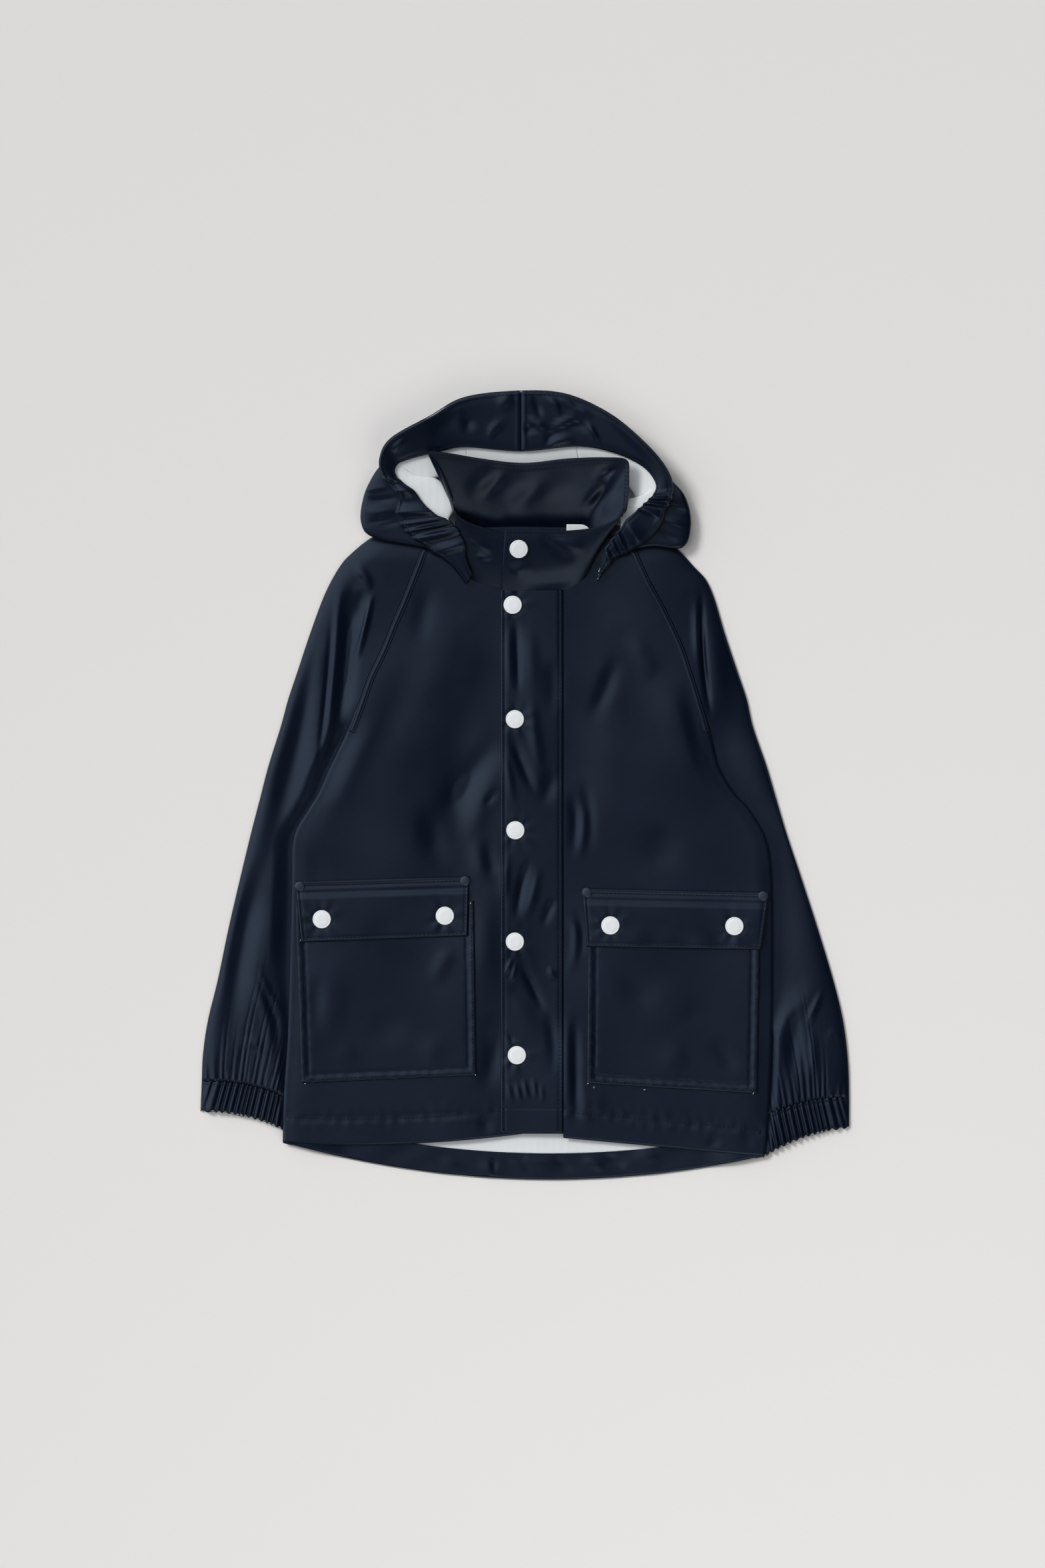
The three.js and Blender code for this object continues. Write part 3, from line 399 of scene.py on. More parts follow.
def white_knit():
    """Polyester knit backing: matt, off-white, in fine wales"""
    made, tree, surface = material("White_knit_backing", Roughness=0.85)
    surface.inputs["Sheen Weight"].default_value = 0.15
    place = add(tree, "ShaderNodeTexCoord").outputs["Object"]
    tone = add(tree, "ShaderNodeTexNoise", {"Vector": place, "Scale": 1 / 0.03, "Detail": 3.0})
    shade = add(tree, "ShaderNodeMix", {"Factor": tone.outputs[0]}, data_type="RGBA")
    shade.inputs[6].default_value = linear("#d6d9d8")
    shade.inputs[7].default_value = linear("#e2e4e3")
    tree.links.new(shade.outputs[2], surface.inputs["Base Color"])
    # Wales are about 0.5 mm apart and are drawn 1 mm apart, so that they show
    wales = add(tree, "ShaderNodeTexWave", {"Vector": place, "Scale": 1 / 0.02, "Distortion": 0.4})
    bump = add(tree, "ShaderNodeBump", {"Height": wales.outputs["Fac"], "Strength": 0.25, "Distance": 0.0002})
    tree.links.new(bump.outputs[0], surface.inputs["Normal"])
    return made


NAVY = coated_cloth("Navy_coated_cloth", "#040a15", "#081020", 0.33)
KNIT = white_knit()


laid = {}


def shell(name, points, wall, finishes, middle=False, turned_in=0):
    """A thin closed wall of cloth behind a grid of points, with rounded edges and coated hems"""
    grid = np.asarray(points, float)
    rows, columns = grid.shape[:2]
    normal = np.cross(np.gradient(grid, axis=1), np.gradient(grid, axis=0))
    normal /= np.linalg.norm(normal, axis=2, keepdims=True) + 1e-12
    if middle:
        grid = grid + normal * wall / 2
    laid[name] = grid
    under = grid - normal * wall
    ids = np.arange(rows * columns).reshape(rows, columns)
    loop = np.concatenate([ids[0], ids[1:, -1], ids[-1, -2::-1], ids[-2:0:-1, 0]])
    near = np.clip(np.arange(rows), 1, rows - 2)[:, None] * columns
    inner = (near + np.clip(np.arange(columns), 1, columns - 2)[None, :]).ravel()[loop]
    a, b, c, d = ids[:-1, :-1], ids[:-1, 1:], ids[1:, 1:], ids[1:, :-1]
    top = np.stack([a, b, c, d], axis=-1).reshape(-1, 4)
    count = rows * columns
    bottom = top[:, ::-1] + count
    flat, flat_under = grid.reshape(-1, 3), under.reshape(-1, 3)
    out = flat[loop] - flat[inner]
    out /= np.linalg.norm(out, axis=1, keepdims=True) + 1e-12
    edge = (flat[loop] + flat_under[loop]) / 2 + out * wall * 0.4
    rim = 2 * count + np.arange(len(loop))
    after, rim_after = np.roll(loop, -1), np.roll(rim, -1)
    upper_rim = np.stack([after, loop, rim, rim_after], axis=1)
    lower_rim = np.stack([rim_after, rim, loop + count, after + count], axis=1)
    vertices = np.concatenate([flat, flat_under, edge]) * MM
    mesh = bpy.data.meshes.new(name)
    mesh.from_pydata(vertices.tolist(), [], np.concatenate([top, bottom, upper_rim, lower_rim]).tolist())
    finish = np.full(len(mesh.polygons), finishes.index(NAVY) if NAVY in finishes else 0)
    faces = finish[: 2 * len(top)].reshape(2, rows - 1, columns - 1)
    faces[:, :, turned_in : columns - 1 - turned_in] = np.arange(2)[:, None, None]
    mesh.polygons.foreach_set("material_index", finish)
    mesh.shade_smooth()
    for f in finishes:
        mesh.materials.append(f)
    made = bpy.data.objects.new(name, mesh)
    bpy.context.scene.collection.objects.link(made)
    return made


def fit(piece, slot, *nodes):
    """Puts a finished piece on the coat in place of its plain solids"""
    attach(piece, "root")
    if nodes:
        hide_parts(*nodes)
    return piece


def grid_of(x, y, z):
    return np.stack(np.broadcast_arrays(x, y, z), axis=-1)


EDGE_STOPS = np.array([0, 0.3, 0.8, 1.6, 2.6])


def stops(length, step):
    """Places along a piece, as shares of its length, closer together towards its two edges"""
    inner = np.linspace(EDGE_STOPS[-1], length - EDGE_STOPS[-1], max(int(length / step), 2))
    return np.concatenate([EDGE_STOPS[:-1], inner, length - EDGE_STOPS[-2::-1]]) / length


def places(x, y, shares):
    """Where the given shares of a smooth line's length fall, counted in its points"""
    fine = np.linspace(0, len(x) - 1, 800)
    step = np.hypot(np.diff(spline(x, fine)), np.diff(spline(y, fine)))
    gone = np.concatenate([[0], np.cumsum(step)])
    return np.interp(np.asarray(shares) * gone[-1], gone, fine)


def back_grid():
    down = stops(530, 4.5)
    right_at, left_at = (places(sides[n]["edge_x"], sides[n]["edge_y"], down) for n in ("right", "left"))
    right_x, right_y = (spline(sides["right"][k], right_at)[:, None] for k in ("edge_x", "edge_y"))
    left_x, left_y = (spline(sides["left"][k], left_at)[:, None] for k in ("edge_x", "edge_y"))
    t = down[:, None]
    u = stops(380, 4.5)[None, :]
    bow = mixed(BACK_NECK_RISE, 0, np.clip(t * 5, 0, 1)) - BACK_HEM_DROP * np.clip((t - 0.8) * 5, 0, 1) ** 1.2
    x = mixed(right_x, left_x, u)
    y = mixed(right_y, left_y, u) + bow * 4 * u * (1 - u)
    return x, y


def back_top(x, y):
    raise_up = np.zeros(np.shape(x))
    for side in sides.values():
        inner = np.interp(-y, -side["sleeve"]["inner_y"], side["sleeve"]["inner_x"])
        raise_up = np.maximum(raise_up, 1 - smoothstep(side["hand"] * (inner - x), 12, 44))
    return 1 + 3.1 * settled(y) * raise_up


back_x, back_y = back_grid()
back = shell(
    "Back_panel",
    grid_of(back_x, back_y, back_top(back_x, back_y) - 0.1)[:, 1:-1][:, ::-1],
    WALL,
    [KNIT, NAVY],
    turned_in=4,
)
fit(back, "coated_cloth", "back")

across = np.linspace(NECK_TAPE_ENDS, -NECK_TAPE_ENDS, 60)[None, :]
tape_y = np.interp(across, back_x[0], back_y[0]) - np.linspace(0.3, NECK_TAPE_WIDTH, 8)[:, None]
tape = shell("Neck_tape", grid_of(across + 0 * tape_y, tape_y, 1.5), 0.5, [NAVY, NAVY])
fit(tape, "coated_cloth")

# Turned-up hem of the back: the same cloth folded up 21 mm and stitched, so its coated face
# shows inside, as a navy band below the white. Being cut straight and turned on a curve, it
# ripples.
HEM_BAND_WIDTH = 21
HEM_BAND_RIGHT, HEM_BAND_LEFT = -193, 191
hem_band_folds = table(FOLD_COLUMNS, [
    [-41, -305, -28, -312, -24, -318, 5, 0.9],
    [-26, -300, -25, -308, -26, -318, 3, -0.8],
    [-2, -300, 6, -304, 22, -308, 3, 0.8],
    [-16, -304, -6, -307, 2, -313, 3, 0.7],
    [44, -303, 56, -306, 66, -312, 4, 1.0],
    [60, -300, 74, -304, 84, -311, 4, -0.9],
    [86, -298, 100, -301, 112, -306, 5, 0.7],
    [-70, -300, -60, -306, -54, -312, 5, 0.5],
    [22, -300, 30, -306, 42, -312, 4, -0.6],
])


def hem_height(x):
    return np.interp(x, back_x[-1], back_y[-1])


along = np.linspace(HEM_BAND_RIGHT, HEM_BAND_LEFT, 280)[None, :]
up = np.array([0, 0.25, 0.8, 2, 4, 6.5, 9, 11.5, 14, 16.5, 18.5, 20, 20.7, 21])[:, None]
band_x = along + 0 * up
band_y = hem_height(along) + 0.3 + up
band_z = back_top(band_x, band_y) + 0.35 + 1 + folded(hem_band_folds, band_x, band_y)
band_z = band_z + uneven(band_x, band_y, 26, 0.2, 11) - 0.9 * (1 - smoothstep(up, 0, 0.9))
band = shell("Back_hem_turnup", grid_of(band_x, band_y, band_z)[::-1, ::-1], WALL, [NAVY, KNIT])
fit(band, "coated_cloth", "back_hem_turnup")

# Sleeves: raglan sleeves in the coated cloth, each a tube that lies flat, with a soft fold along
# its outer edge. Where the body lies on them they are pressed flat. Fullness runs up from the
# gathered cuff seam in short pleats.
SLEEVE_ROWS, SLEEVE_ACROSS, SLEEVE_UNDER = 190, 112, 12
CUFF_SAG = 5
CUFF_PLEATS = 15
CUFF_DEPTH = 1.8
cuff_draw = {name: np.random.default_rng(seed) for name, seed in (("right", 21), ("left", 22))}
for name, side in sides.items():
    side["pleat_reach"] = 5 + 40 * cuff_draw[name].uniform(0, 1, CUFF_PLEATS + 2) ** 2
    side["pleat_place"] = np.cumsum(cuff_draw[name].uniform(0.55, 1.45, CUFF_PLEATS + 1))
    side["pleat_place"] = np.concatenate([[0], side["pleat_place"] / side["pleat_place"][-1]])


def pleats(side, u, slant=0):
    """Gathers across a sleeve's end: 1 on a crest and 0 in a cleft, and how far up each one runs"""
    shifted = np.clip(u**1.15 + slant, 0, 1)
    phase = np.interp(shifted, side["pleat_place"], np.arange(len(side["pleat_place"])))
    crest = 0.5 - 0.5 * np.cos(2 * math.pi * phase)
    reach = side["pleat_reach"][np.clip(np.floor(phase).astype(int), 0, CUFF_PLEATS + 1)]
    return crest**0.7, reach


def sleeve_top(side, x, y, from_fold, sunk=0.0):
    outside = side["hand"] * (x - edge_at(side, y))
    open_end = smoothstep(-y, 150, 205)
    near, far = side["tuck_reach"]
    tuck = settled(y) * (1 - smoothstep(outside, mixed(near, 0, open_end), mixed(far, 7, open_end)))
    rim = np.clip(from_fold / side["rim_reach"], 0, 1)
    roundness = np.sqrt(1 - (1 - rim) ** 2)
    free = mixed(FOLD_TOP, loft(y), roundness) + roundness * (relief(x, y) - sunk)
    free = np.maximum(free, LOWEST_TOP)
    return mixed(free, np.minimum(free, PRESSED), tuck)


def tube_grid(side, outer, inner, bow, top_of):
    """A flat tube's section from its inner edge, over the top, round its outer fold and back below"""
    ends = np.array([0, 0.4, 1.1, 2.2]) / 100
    u = np.concatenate([ends, np.linspace(0.04, 0.96, SLEEVE_ACROSS), 1 - ends[::-1]])[::-1][None, :]
    width = np.hypot(*(outer - inner).T)[:, None]
    top_x = mixed(outer[:, :1], inner[:, :1], u)
    top_y = mixed(outer[:, 1:], inner[:, 1:], u) + bow * 4 * u * (1 - u)
    top_z = top_of(side, top_x, top_y, u * width, u)
    turn = np.linspace(0, math.pi, 7)[None, 1:-1]
    out = (outer - inner) / width
    radius = FOLD_TOP / 2
    fold_x = outer[:, :1] + out[:, :1] * (np.sin(turn) - 1) * radius
    fold_y = outer[:, 1:] + out[:, 1:] * (np.sin(turn) - 1) * radius
    fold_z = radius + radius * np.cos(turn) + 0 * fold_x
    inset = 1 - radius / width
    shift = (1 - inset) * (1 - u)
    top_x = top_x + (inner[:, :1] - outer[:, :1]) * shift
    top_y = top_y + (inner[:, 1:] - outer[:, 1:]) * shift
    v = np.linspace(0, 1, SLEEVE_UNDER)[None, :]
    low_x = mixed(outer[:, :1] + (inner[:, :1] - outer[:, :1]) * (1 - inset), inner[:, :1], v)
    low_y = mixed(outer[:, 1:] + (inner[:, 1:] - outer[:, 1:]) * (1 - inset), inner[:, 1:], v)
    low_y = low_y + bow * 4 * v * (1 - v)
    top = grid_of(top_x, top_y, top_z)
    fold = grid_of(fold_x, fold_y, fold_z)
    low = grid_of(low_x, low_y, 0 * low_x + 0.02)
    made = np.concatenate([top, fold, low], axis=1)
    return made if side["hand"] < 0 else made[:, ::-1]


def sleeve_grid(side):
    rows = side["sleeve"]
    at = places(rows["outer_x"], rows["outer_y"], np.linspace(0, 1, SLEEVE_ROWS))
    outer, inner = (
        np.stack([spline(rows[e + "_x"], at), spline(rows[e + "_y"], at)], axis=-1)
        for e in ("outer", "inner")
    )
    bow = CUFF_SAG * smoothstep(at, len(rows["outer_x"]) - 2.2, len(rows["outer_x"]) - 1)[:, None]
    length = np.cumsum(np.hypot(*np.gradient(outer, axis=0).T))
    to_cuff = (length[-1] - length)[:, None]

    def top_of(side, x, y, from_fold, u):
        crest, reach = pleats(side, u, 0.1 * to_cuff / 40 * (0.5 - u))
        sunk = 0.7 * CUFF_DEPTH * (1 - crest**1.5) * np.exp(-((to_cuff / reach) ** 1.5))
        return sleeve_top(side, x, y, from_fold, sunk)

    return tube_grid(side, outer, inner, bow, top_of)


for name, side in sides.items():
    sleeve = shell("Sleeve_" + name, sleeve_grid(side), WALL, [NAVY, KNIT])
    fit(sleeve, "coated_cloth", f"sleeve_{name}_front", f"sleeve_{name}_back")

# Cuffs: a casing for elastic at each sleeve's end. It holds the sleeve's fullness in uneven pleats
# that run from the casing seam to the scalloped hem, closest together towards the body. Navy
# coated cloth, topstitched at both edges.
CUFF_HEMS = {"right": [[-263, -263], [-188, -281.5]], "left": [[263, -276], [190, -302]]}
CUFF_SLANT = 0.07
SCALLOP = 2.0


def cuff_grid(side, hem):
    rows = side["sleeve"]
    s = stops(26, 1.1)[:, None]
    hem = np.array(hem, float)
    outer = mixed(np.array([rows["outer_x"][-1], rows["outer_y"][-1] + LAP]), hem[0], s)
    inner = mixed(np.array([rows["inner_x"][-1], rows["inner_y"][-1] + LAP]), hem[1], s)

    def top_of(side, x, y, from_fold, u):
        crest, _ = pleats(side, u, CUFF_SLANT * (s - 0.5))
        casing = 0.35 * np.exp(-(((s - 0.12) / 0.05) ** 2)) + 0.25 * np.exp(-(((s - 0.93) / 0.03) ** 2))
        ends = 0.7 * (1 - smoothstep(np.minimum(s, 1 - s), 0, 0.035))
        return sleeve_top(side, x, y, from_fold, CUFF_DEPTH * 1.15 * (1 - crest) + casing + ends)

    grid = tube_grid(side, outer, inner, CUFF_SAG + 0 * s, top_of)
    u = np.clip((grid[..., 0] - outer[:, :1]) / (inner[:, :1] - outer[:, :1]), 0, 1)
    crest, _ = pleats(side, u, CUFF_SLANT * (s - 0.5))
    grid[..., 1] += SCALLOP * (0.4 - crest) * smoothstep(s, 0.6, 1)
    return grid


for name, side in sides.items():
    cuff = shell("Cuff_" + name, cuff_grid(side, CUFF_HEMS[name]), WALL, [NAVY, KNIT])
    fit(cuff, "coated_cloth", f"cuff_{name}_front", f"cuff_{name}_back")

# Fronts: two panels of the coated cloth, sewn to the sleeves along the raglan seams and to the
# back at the sides. The hem is turned up 21 mm and stitched once. The left one ends at the
# placket's seam and the right one goes on under the placket.
HEM_STITCH = 21
FRONT_CUT = {"right": (0.21, 0.08), "left": (0.18, 0.068)}


def front_grid(side):
    at = places(side["edge_x"], side["edge_y"], stops(480, 2.5))[:, None]
    u = stops(200, 2.4)[None, :]
    edge_x, edge_y, centre_y = (spline(side[k], at) for k in ("edge_x", "edge_y", "centre_y"))
    neck = np.clip(spline(side["neck"], at), 0, 1)
    turn = u * math.pi / 2
    across = 1 - np.maximum(np.cos(turn), 0) ** side["neck_bend"]
    down = np.sin(turn) ** side["neck_bend"]
    last = len(side["edge_x"]) - 1
    sag = side["hem_sag"] * smoothstep(at, last - 1, last)
    x = mixed(edge_x, side["centre_x"], u) + neck * (side["centre_x"] - edge_x[0]) * (across - u)
    y = mixed(edge_y, centre_y, u) + neck * (centre_y[0] - edge_y[0]) * (down - u) - sag * 4 * u * (1 - u)
    return x, y


def from_last_row(x, y):
    """Distance along each column from a panel's last row"""
    step = np.hypot(np.diff(x, axis=0), np.diff(y, axis=0))
    gone = np.concatenate([np.zeros((1, x.shape[1])), np.cumsum(step, axis=0)])
    return gone[-1] - gone


def groove(distance, at, width, depth):
    """A narrow rounded groove, or a ridge where the depth is negative"""
    return -depth * np.exp(-(((distance - at) / width) ** 2))


def rolled(distance, drop=0.45, width=0.9):
    """How far cloth rolls down towards its edge"""
    return -drop * (1 - smoothstep(distance, 0, width))


for name, side in sides.items():
    x, y = front_grid(side)
    from_hem = from_last_row(x, y)
    from_side = side["hand"] * (x[:, :1] - x)
    z = body_top(x, y) + rolled(from_side, 0.5, 1.8) + rolled(from_hem, 0.6, 1.2)
    z = z + 0.3 * (1 - smoothstep(from_hem, HEM_STITCH - 1, HEM_STITCH + 1)) + groove(from_hem, HEM_STITCH, 1.3, 0.6)
    z = z + 0.22 * uneven(x, y, 7, 1, 31) * np.exp(-(((from_hem - HEM_STITCH) / 6) ** 2))
    grid = grid_of(x, y, z)
    if side["hand"] < 0:
        grid = grid[:, ::-1]
    front = shell("Front_" + name, grid, WALL, [NAVY, KNIT], turned_in=5)
    fit(front, "coated_cloth", "front_" + name)
    wide, area = FRONT_CUT[name]

# Raglan fells: each raglan seam's allowances are turned to the body's side and stitched down
# twice, so a narrow raised welt runs beside the seam. On the coat it is a little wider on the right
# side; here both welts are drawn the same width.
FELL_WIDTH = 4.4
FELL_INSET = 0.8
FELL_ROWS = (2, 10.1)
FELL_RISE = 0.75


def fell_line(side, away):
    """Points on the body, a distance away from the raglan seam"""
    rows = side["sleeve"]
    at = np.linspace(*FELL_ROWS, 150)
    x, y = spline(rows["inner_x"], at), spline(rows["inner_y"], at)
    run_x, run_y = np.gradient(x), np.gradient(y)
    long = np.hypot(run_x, run_y)
    away = np.asarray(away, float)[None, :]
    px = x[:, None] + side["hand"] * away * (run_y / long)[:, None]
    py = y[:, None] - side["hand"] * away * (run_x / long)[:, None]
    return px, py


for name, side in sides.items():
    share = np.array([0, 0.06, 0.12, 0.18, 0.26, 0.36, 0.5, 0.64, 0.74, 0.82, 0.88, 0.94, 1])
    x, y = fell_line(side, FELL_INSET + share * FELL_WIDTH)
    crown = FELL_RISE - 0.45 * np.abs(2 * share - 1) ** 6 - 0.35 * np.exp(-(((np.abs(share - 0.5) - 0.32) / 0.1) ** 2))
    grid = grid_of(x, y, body_top(x, y) + crown)
    if side["hand"] > 0:
        grid = grid[:, ::-1]
    fell = shell("Raglan_fell_" + name, grid, 0.5, [NAVY, NAVY])
    fit(fell, "coated_cloth", "raglan_fell_" + name)

# Placket: a doubled strip of the coated cloth with a stiffener inside. It is sewn to the left
# front along its left edge, and its other edge, stitched 3 mm in, laps over the right front and
# closes on it with five studs. The cloth puckers round each stud.
PLACKET_LEFT, PLACKET_RIGHT = -19.6, 31
PLACKET_TOP, PLACKET_BOTTOM = 158.2, -281.5
PLACKET_RISE = 1.7
PLACKET_WALL = 1.1
CAP_RADIUS = 7.5
placket_studs = [[-9.8, 146.6], [-8, 54], [-7.6, -35.9], [-8, -126.1], [-6.4, -218]]


def puckered(x, y, studs, seed):
    """Small radial puckers that a row of studs draws in the cloth, and the dent under each cap"""
    draw = np.random.default_rng(seed)
    total = np.zeros(np.shape(x))
    for stud_x, stud_y in studs:
        away = np.hypot(x - stud_x, y - stud_y)
        turn = np.arctan2(y - stud_y, x - stud_x)
        waves = sum(np.cos(k * turn + draw.uniform(0, 6.28)) for k in (3, 5, 7, 8))
        fade = smoothstep(away, CAP_RADIUS - 1, CAP_RADIUS + 1.5) * (1 - smoothstep(away, CAP_RADIUS, 24))
        total += 0.1 * waves * fade - 0.25 * np.exp(-(((away - CAP_RADIUS) / 1.6) ** 2))
    return total


def placket_top(x, y):
    from_free = x - PLACKET_LEFT
    free = groove(from_free, 1.3, 1.0, -0.35) + groove(from_free, 2.9, 0.9, 0.45) + rolled(from_free, 0.8, 1.0)
    sewn = rolled(PLACKET_RIGHT - x, 0.9, 1.4) + groove(PLACKET_RIGHT - x, 2.9, 0.9, 0.45)
    ends = rolled(y - PLACKET_BOTTOM, 0.7, 1.2) + groove(y - PLACKET_BOTTOM, HEM_STITCH, 0.8, 0.4)
    return body_top(x, y) + PLACKET_RISE + free + sewn + ends + puckered(x, y, placket_studs, 41)


x = mixed(PLACKET_RIGHT, PLACKET_LEFT, stops(PLACKET_RIGHT - PLACKET_LEFT, 1.2))[None, :]
y = mixed(PLACKET_TOP, PLACKET_BOTTOM, stops(PLACKET_TOP - PLACKET_BOTTOM, 1.3))[:, None]
x, y = np.broadcast_arrays(x, y)
placket = shell("Placket", grid_of(x, y, placket_top(x, y)), PLACKET_WALL, [NAVY, KNIT])
fit(placket, "coated_cloth", "placket")

# Pockets: two patch pockets of the coated cloth. Each has its edge turned round a soft cord and
# stitched along its middle at the sides and bottom, so a rounded ridge frames it.
POCKET_LIFT = 0.7
RIM_WIDTH = 5.4
RIM_RISE = 0.7
POCKETS = {
    "right": [[-186, -95], [-41.3, -93], [-181, -240.5], [-39.2, -234.4]],
    "left": [[51.5, -97], [191, -100], [50.4, -240.8], [188.5, -249]],
}


def patch(corners, u, w):
    """Points of a four-cornered patch, across from the wearer's right and then down"""
    upper_right, upper_left, lower_right, lower_left = np.array(corners, float)
    u, w = u[..., None], w[..., None]
    spot = mixed(mixed(upper_right, upper_left, u), mixed(lower_right, lower_left, u), w)
    return spot[..., 0], spot[..., 1]


def patch_size(corners):
    upper_right, upper_left, lower_right, _ = np.array(corners, float)
    return np.linalg.norm(upper_left - upper_right), np.linalg.norm(lower_right - upper_right)


for name, corners in POCKETS.items():
    wide, tall = patch_size(corners)
    u, w = np.broadcast_arrays(stops(wide, 1.7)[None, :], stops(tall, 1.7)[:, None])
    x, y = patch(corners, u, w)
    from_edge = np.minimum(np.minimum(u, 1 - u) * wide, (1 - w) * tall)
    rim = RIM_RISE * np.sqrt(np.clip(1 - ((from_edge - RIM_WIDTH / 2) / (RIM_WIDTH / 2)) ** 2, 0, 1))
    rim = rim + groove(from_edge, RIM_WIDTH + 0.5, 1.3, 0.55) + groove(from_edge, RIM_WIDTH / 2, 0.8, 0.2)
    rim = rim + 0.12 * uneven(x, y, 9, 1, 51) * (1 - smoothstep(from_edge, 5, 11))
    z = body_top(x, y) + POCKET_LIFT + WALL + rim
    pocket = shell("Pocket_" + name, grid_of(x, y, z)[:, ::-1], WALL, [NAVY, KNIT])
    fit(pocket, "coated_cloth", "pocket_" + name)

# Pocket flaps: doubled, sewn to the front above the pocket, turned down over its mouth and
# stitched again below the fold. They close on the pocket with a stud at each end, and their
# stitched sides and lower edge stand up as a thick rounded edge.
FLAP_STEP = (0.18, 0.3)
FLAP_WALL = 1.2
FLAPS = {
    "right": [[-186.3, -77.2], [-45, -73], [-181, -126.6], [-46.3, -121.5]],
    "left": [[46.5, -82.6], [198, -86], [50, -130.2], [191.5, -132.6]],
}
FLAP_WAVE = {"right": 0.15, "left": 0.45}
flap_studs = {"right": [[-164.3, -107.9], [-64.7, -105.1]], "left": [[69.3, -112.9], [169.7, -113.5]]}


def flap_rise(w):
    over_pocket = POCKET_LIFT + 1 + RIM_RISE + 0.35
    return mixed(POCKET_LIFT, over_pocket, smoothstep(w, *FLAP_STEP)) + FLAP_WALL


def flap_top(name, x, y, u, w):
    wide, tall = patch_size(FLAPS[name])
    from_top, from_bottom = w * tall, (1 - w) * tall
    from_end = np.minimum(u, 1 - u) * wide
    from_edge = np.minimum(from_end, from_bottom)
    fold = groove(from_top, 1.9, 1.1, -0.5) + groove(from_top, 4.2, 1.1, 0.6) + groove(from_top, 7.4, 2, -0.35)
    edge = groove(from_edge, 1.0, 0.8, -0.3) + groove(from_edge, 2.8, 0.8, 0.35)
    edge = edge + rolled(np.minimum(from_edge, from_top), 0.8, 1.1)
    wave = FLAP_WAVE[name] * uneven(x, y, 34, 1, 61) * smoothstep(w, 0.45, 1)
    return body_top(x, y) + flap_rise(w) + fold + edge + wave + puckered(x, y, flap_studs[name], 62)


for name, corners in FLAPS.items():
    wide, tall = patch_size(corners)
    u, w = np.broadcast_arrays(stops(wide, 1.25)[None, :], stops(tall, 1.2)[:, None])
    x, y = patch(corners, u, w)
    flap = shell("Pocket_flap_" + name, grid_of(x, y, flap_top(name, x, y, u, w))[:, ::-1], FLAP_WALL, [NAVY, NAVY])
    fit(flap, "coated_cloth", "pocket_flap_" + name)

# Collar: one doubled strip of the coated cloth round the neck, leaning outwards, its ends
# crossing at the front, where one stud holds them. Twice stitched along the top edge. Its back
# part lies open and shows soft slanting folds. Sections go from the neck seam to the top edge.
COLLAR_BOW = 1.5
COLLAR_WALL = 1.1
collar_sections = np.array([
    [7, 159.8, 4.9, 7, 205, 14.2],
    [-19, 160.2, 4.9, -19, 205.5, 14.2],
    [-38, 164.4, 5.4, -38, 210.5, 16],
    [-48, 172, 5.4, -49, 215, 18],
    [-53, 183, 5.4, -56, 222, 20],
    [-53, 197, 4.5, -60, 237, 22.5],
    [-52, 205, 3.4, -70, 259, 26],
    [-49, 209.5, 2.5, -78, 269, 27],
    [-42, 211, 2.1, -65, 269, 26],
    [-28, 211.5, 2, -35, 264, 25],
    [0, 212, 2, -1, 260.5, 24],
    [28, 211.5, 2, 34, 264, 25],
    [42, 211, 2.1, 65, 265, 26],
    [50, 209.5, 2.5, 82, 263, 27],
    [54, 205, 3.4, 84, 251, 26],
    [54.5, 197, 4.5, 83, 228, 23],
    [53.5, 183, 5.4, 79, 220, 20],
    [49, 170, 5.6, 61, 210, 18],
    [29, 160.4, 6.4, 36, 206.2, 17],
    [1, 159.8, 7.3, 7, 206, 16.8],
    [-19, 160, 7.3, -16, 206, 16.8],
])
collar_folds = table(FOLD_COLUMNS, [
    [-22, 258, -35, 247, -49, 234, 6, 1.2],
    [-14, 258, -25, 243, -40, 228, 5, -1.0],
    [4, 254, -11, 240, -33, 223, 9, 1.2],
    [19, 251, 4, 236, -14, 221, 6, -1.0],
    [42, 253, 23, 236, -3, 217, 10, 1.3],
    [55, 245, 66, 253, 72, 251, 5, -2.0],
    [69, 245, 60, 230, 49, 217, 6, -1.8],
    [64, 245, 56, 236, 45, 225, 4, 1.2],
    [75, 240, 69, 228, 62, 217, 6, 0.8],
    [-48, 201, -37, 195, -25, 190, 3, 1.0],
    [-40, 188, -33, 185, -24, 186, 3, -1.0],
    [10, 201, 27, 192, 42, 182, 5, -1.2],
    [19, 201, 36, 195, 53, 190, 5, 1.0],
    [-11, 180, -1, 176, 10, 177, 6, 0.8],
    [-7, 163, 23, 165, 53, 171, 6, -1.3],
    [-16, 182, -7, 175, -1, 171, 4, 0.7],
])


def collar_grid(at, w):
    """Points of the collar's middle: along it in sections, and up it from 0 to 1"""
    at, w = np.broadcast_arrays(at, w)
    v = spline(collar_sections, at)
    spot = mixed(v[..., :3], v[..., 3:], w[..., None])
    spot[..., 2] += COLLAR_BOW * 4 * w * (1 - w) + folded(collar_folds, spot[..., 0], spot[..., 1])
    from_top = (1 - w) * np.linalg.norm(v[..., 3:] - v[..., :3], axis=-1)
    spot[..., 2] += groove(from_top, 1.6, 0.5, 0.2) + groove(from_top, 4.4, 0.5, 0.25)
    return spot


w = mixed(-0.05, 1, stops(50, 1.6))[:, None]
at = np.linspace(0, len(collar_sections) - 1, 330)[None, :]
collar = shell("Collar", collar_grid(at, w), COLLAR_WALL, [NAVY, NAVY], middle=True)
fit(collar, "coated_cloth", "collar")

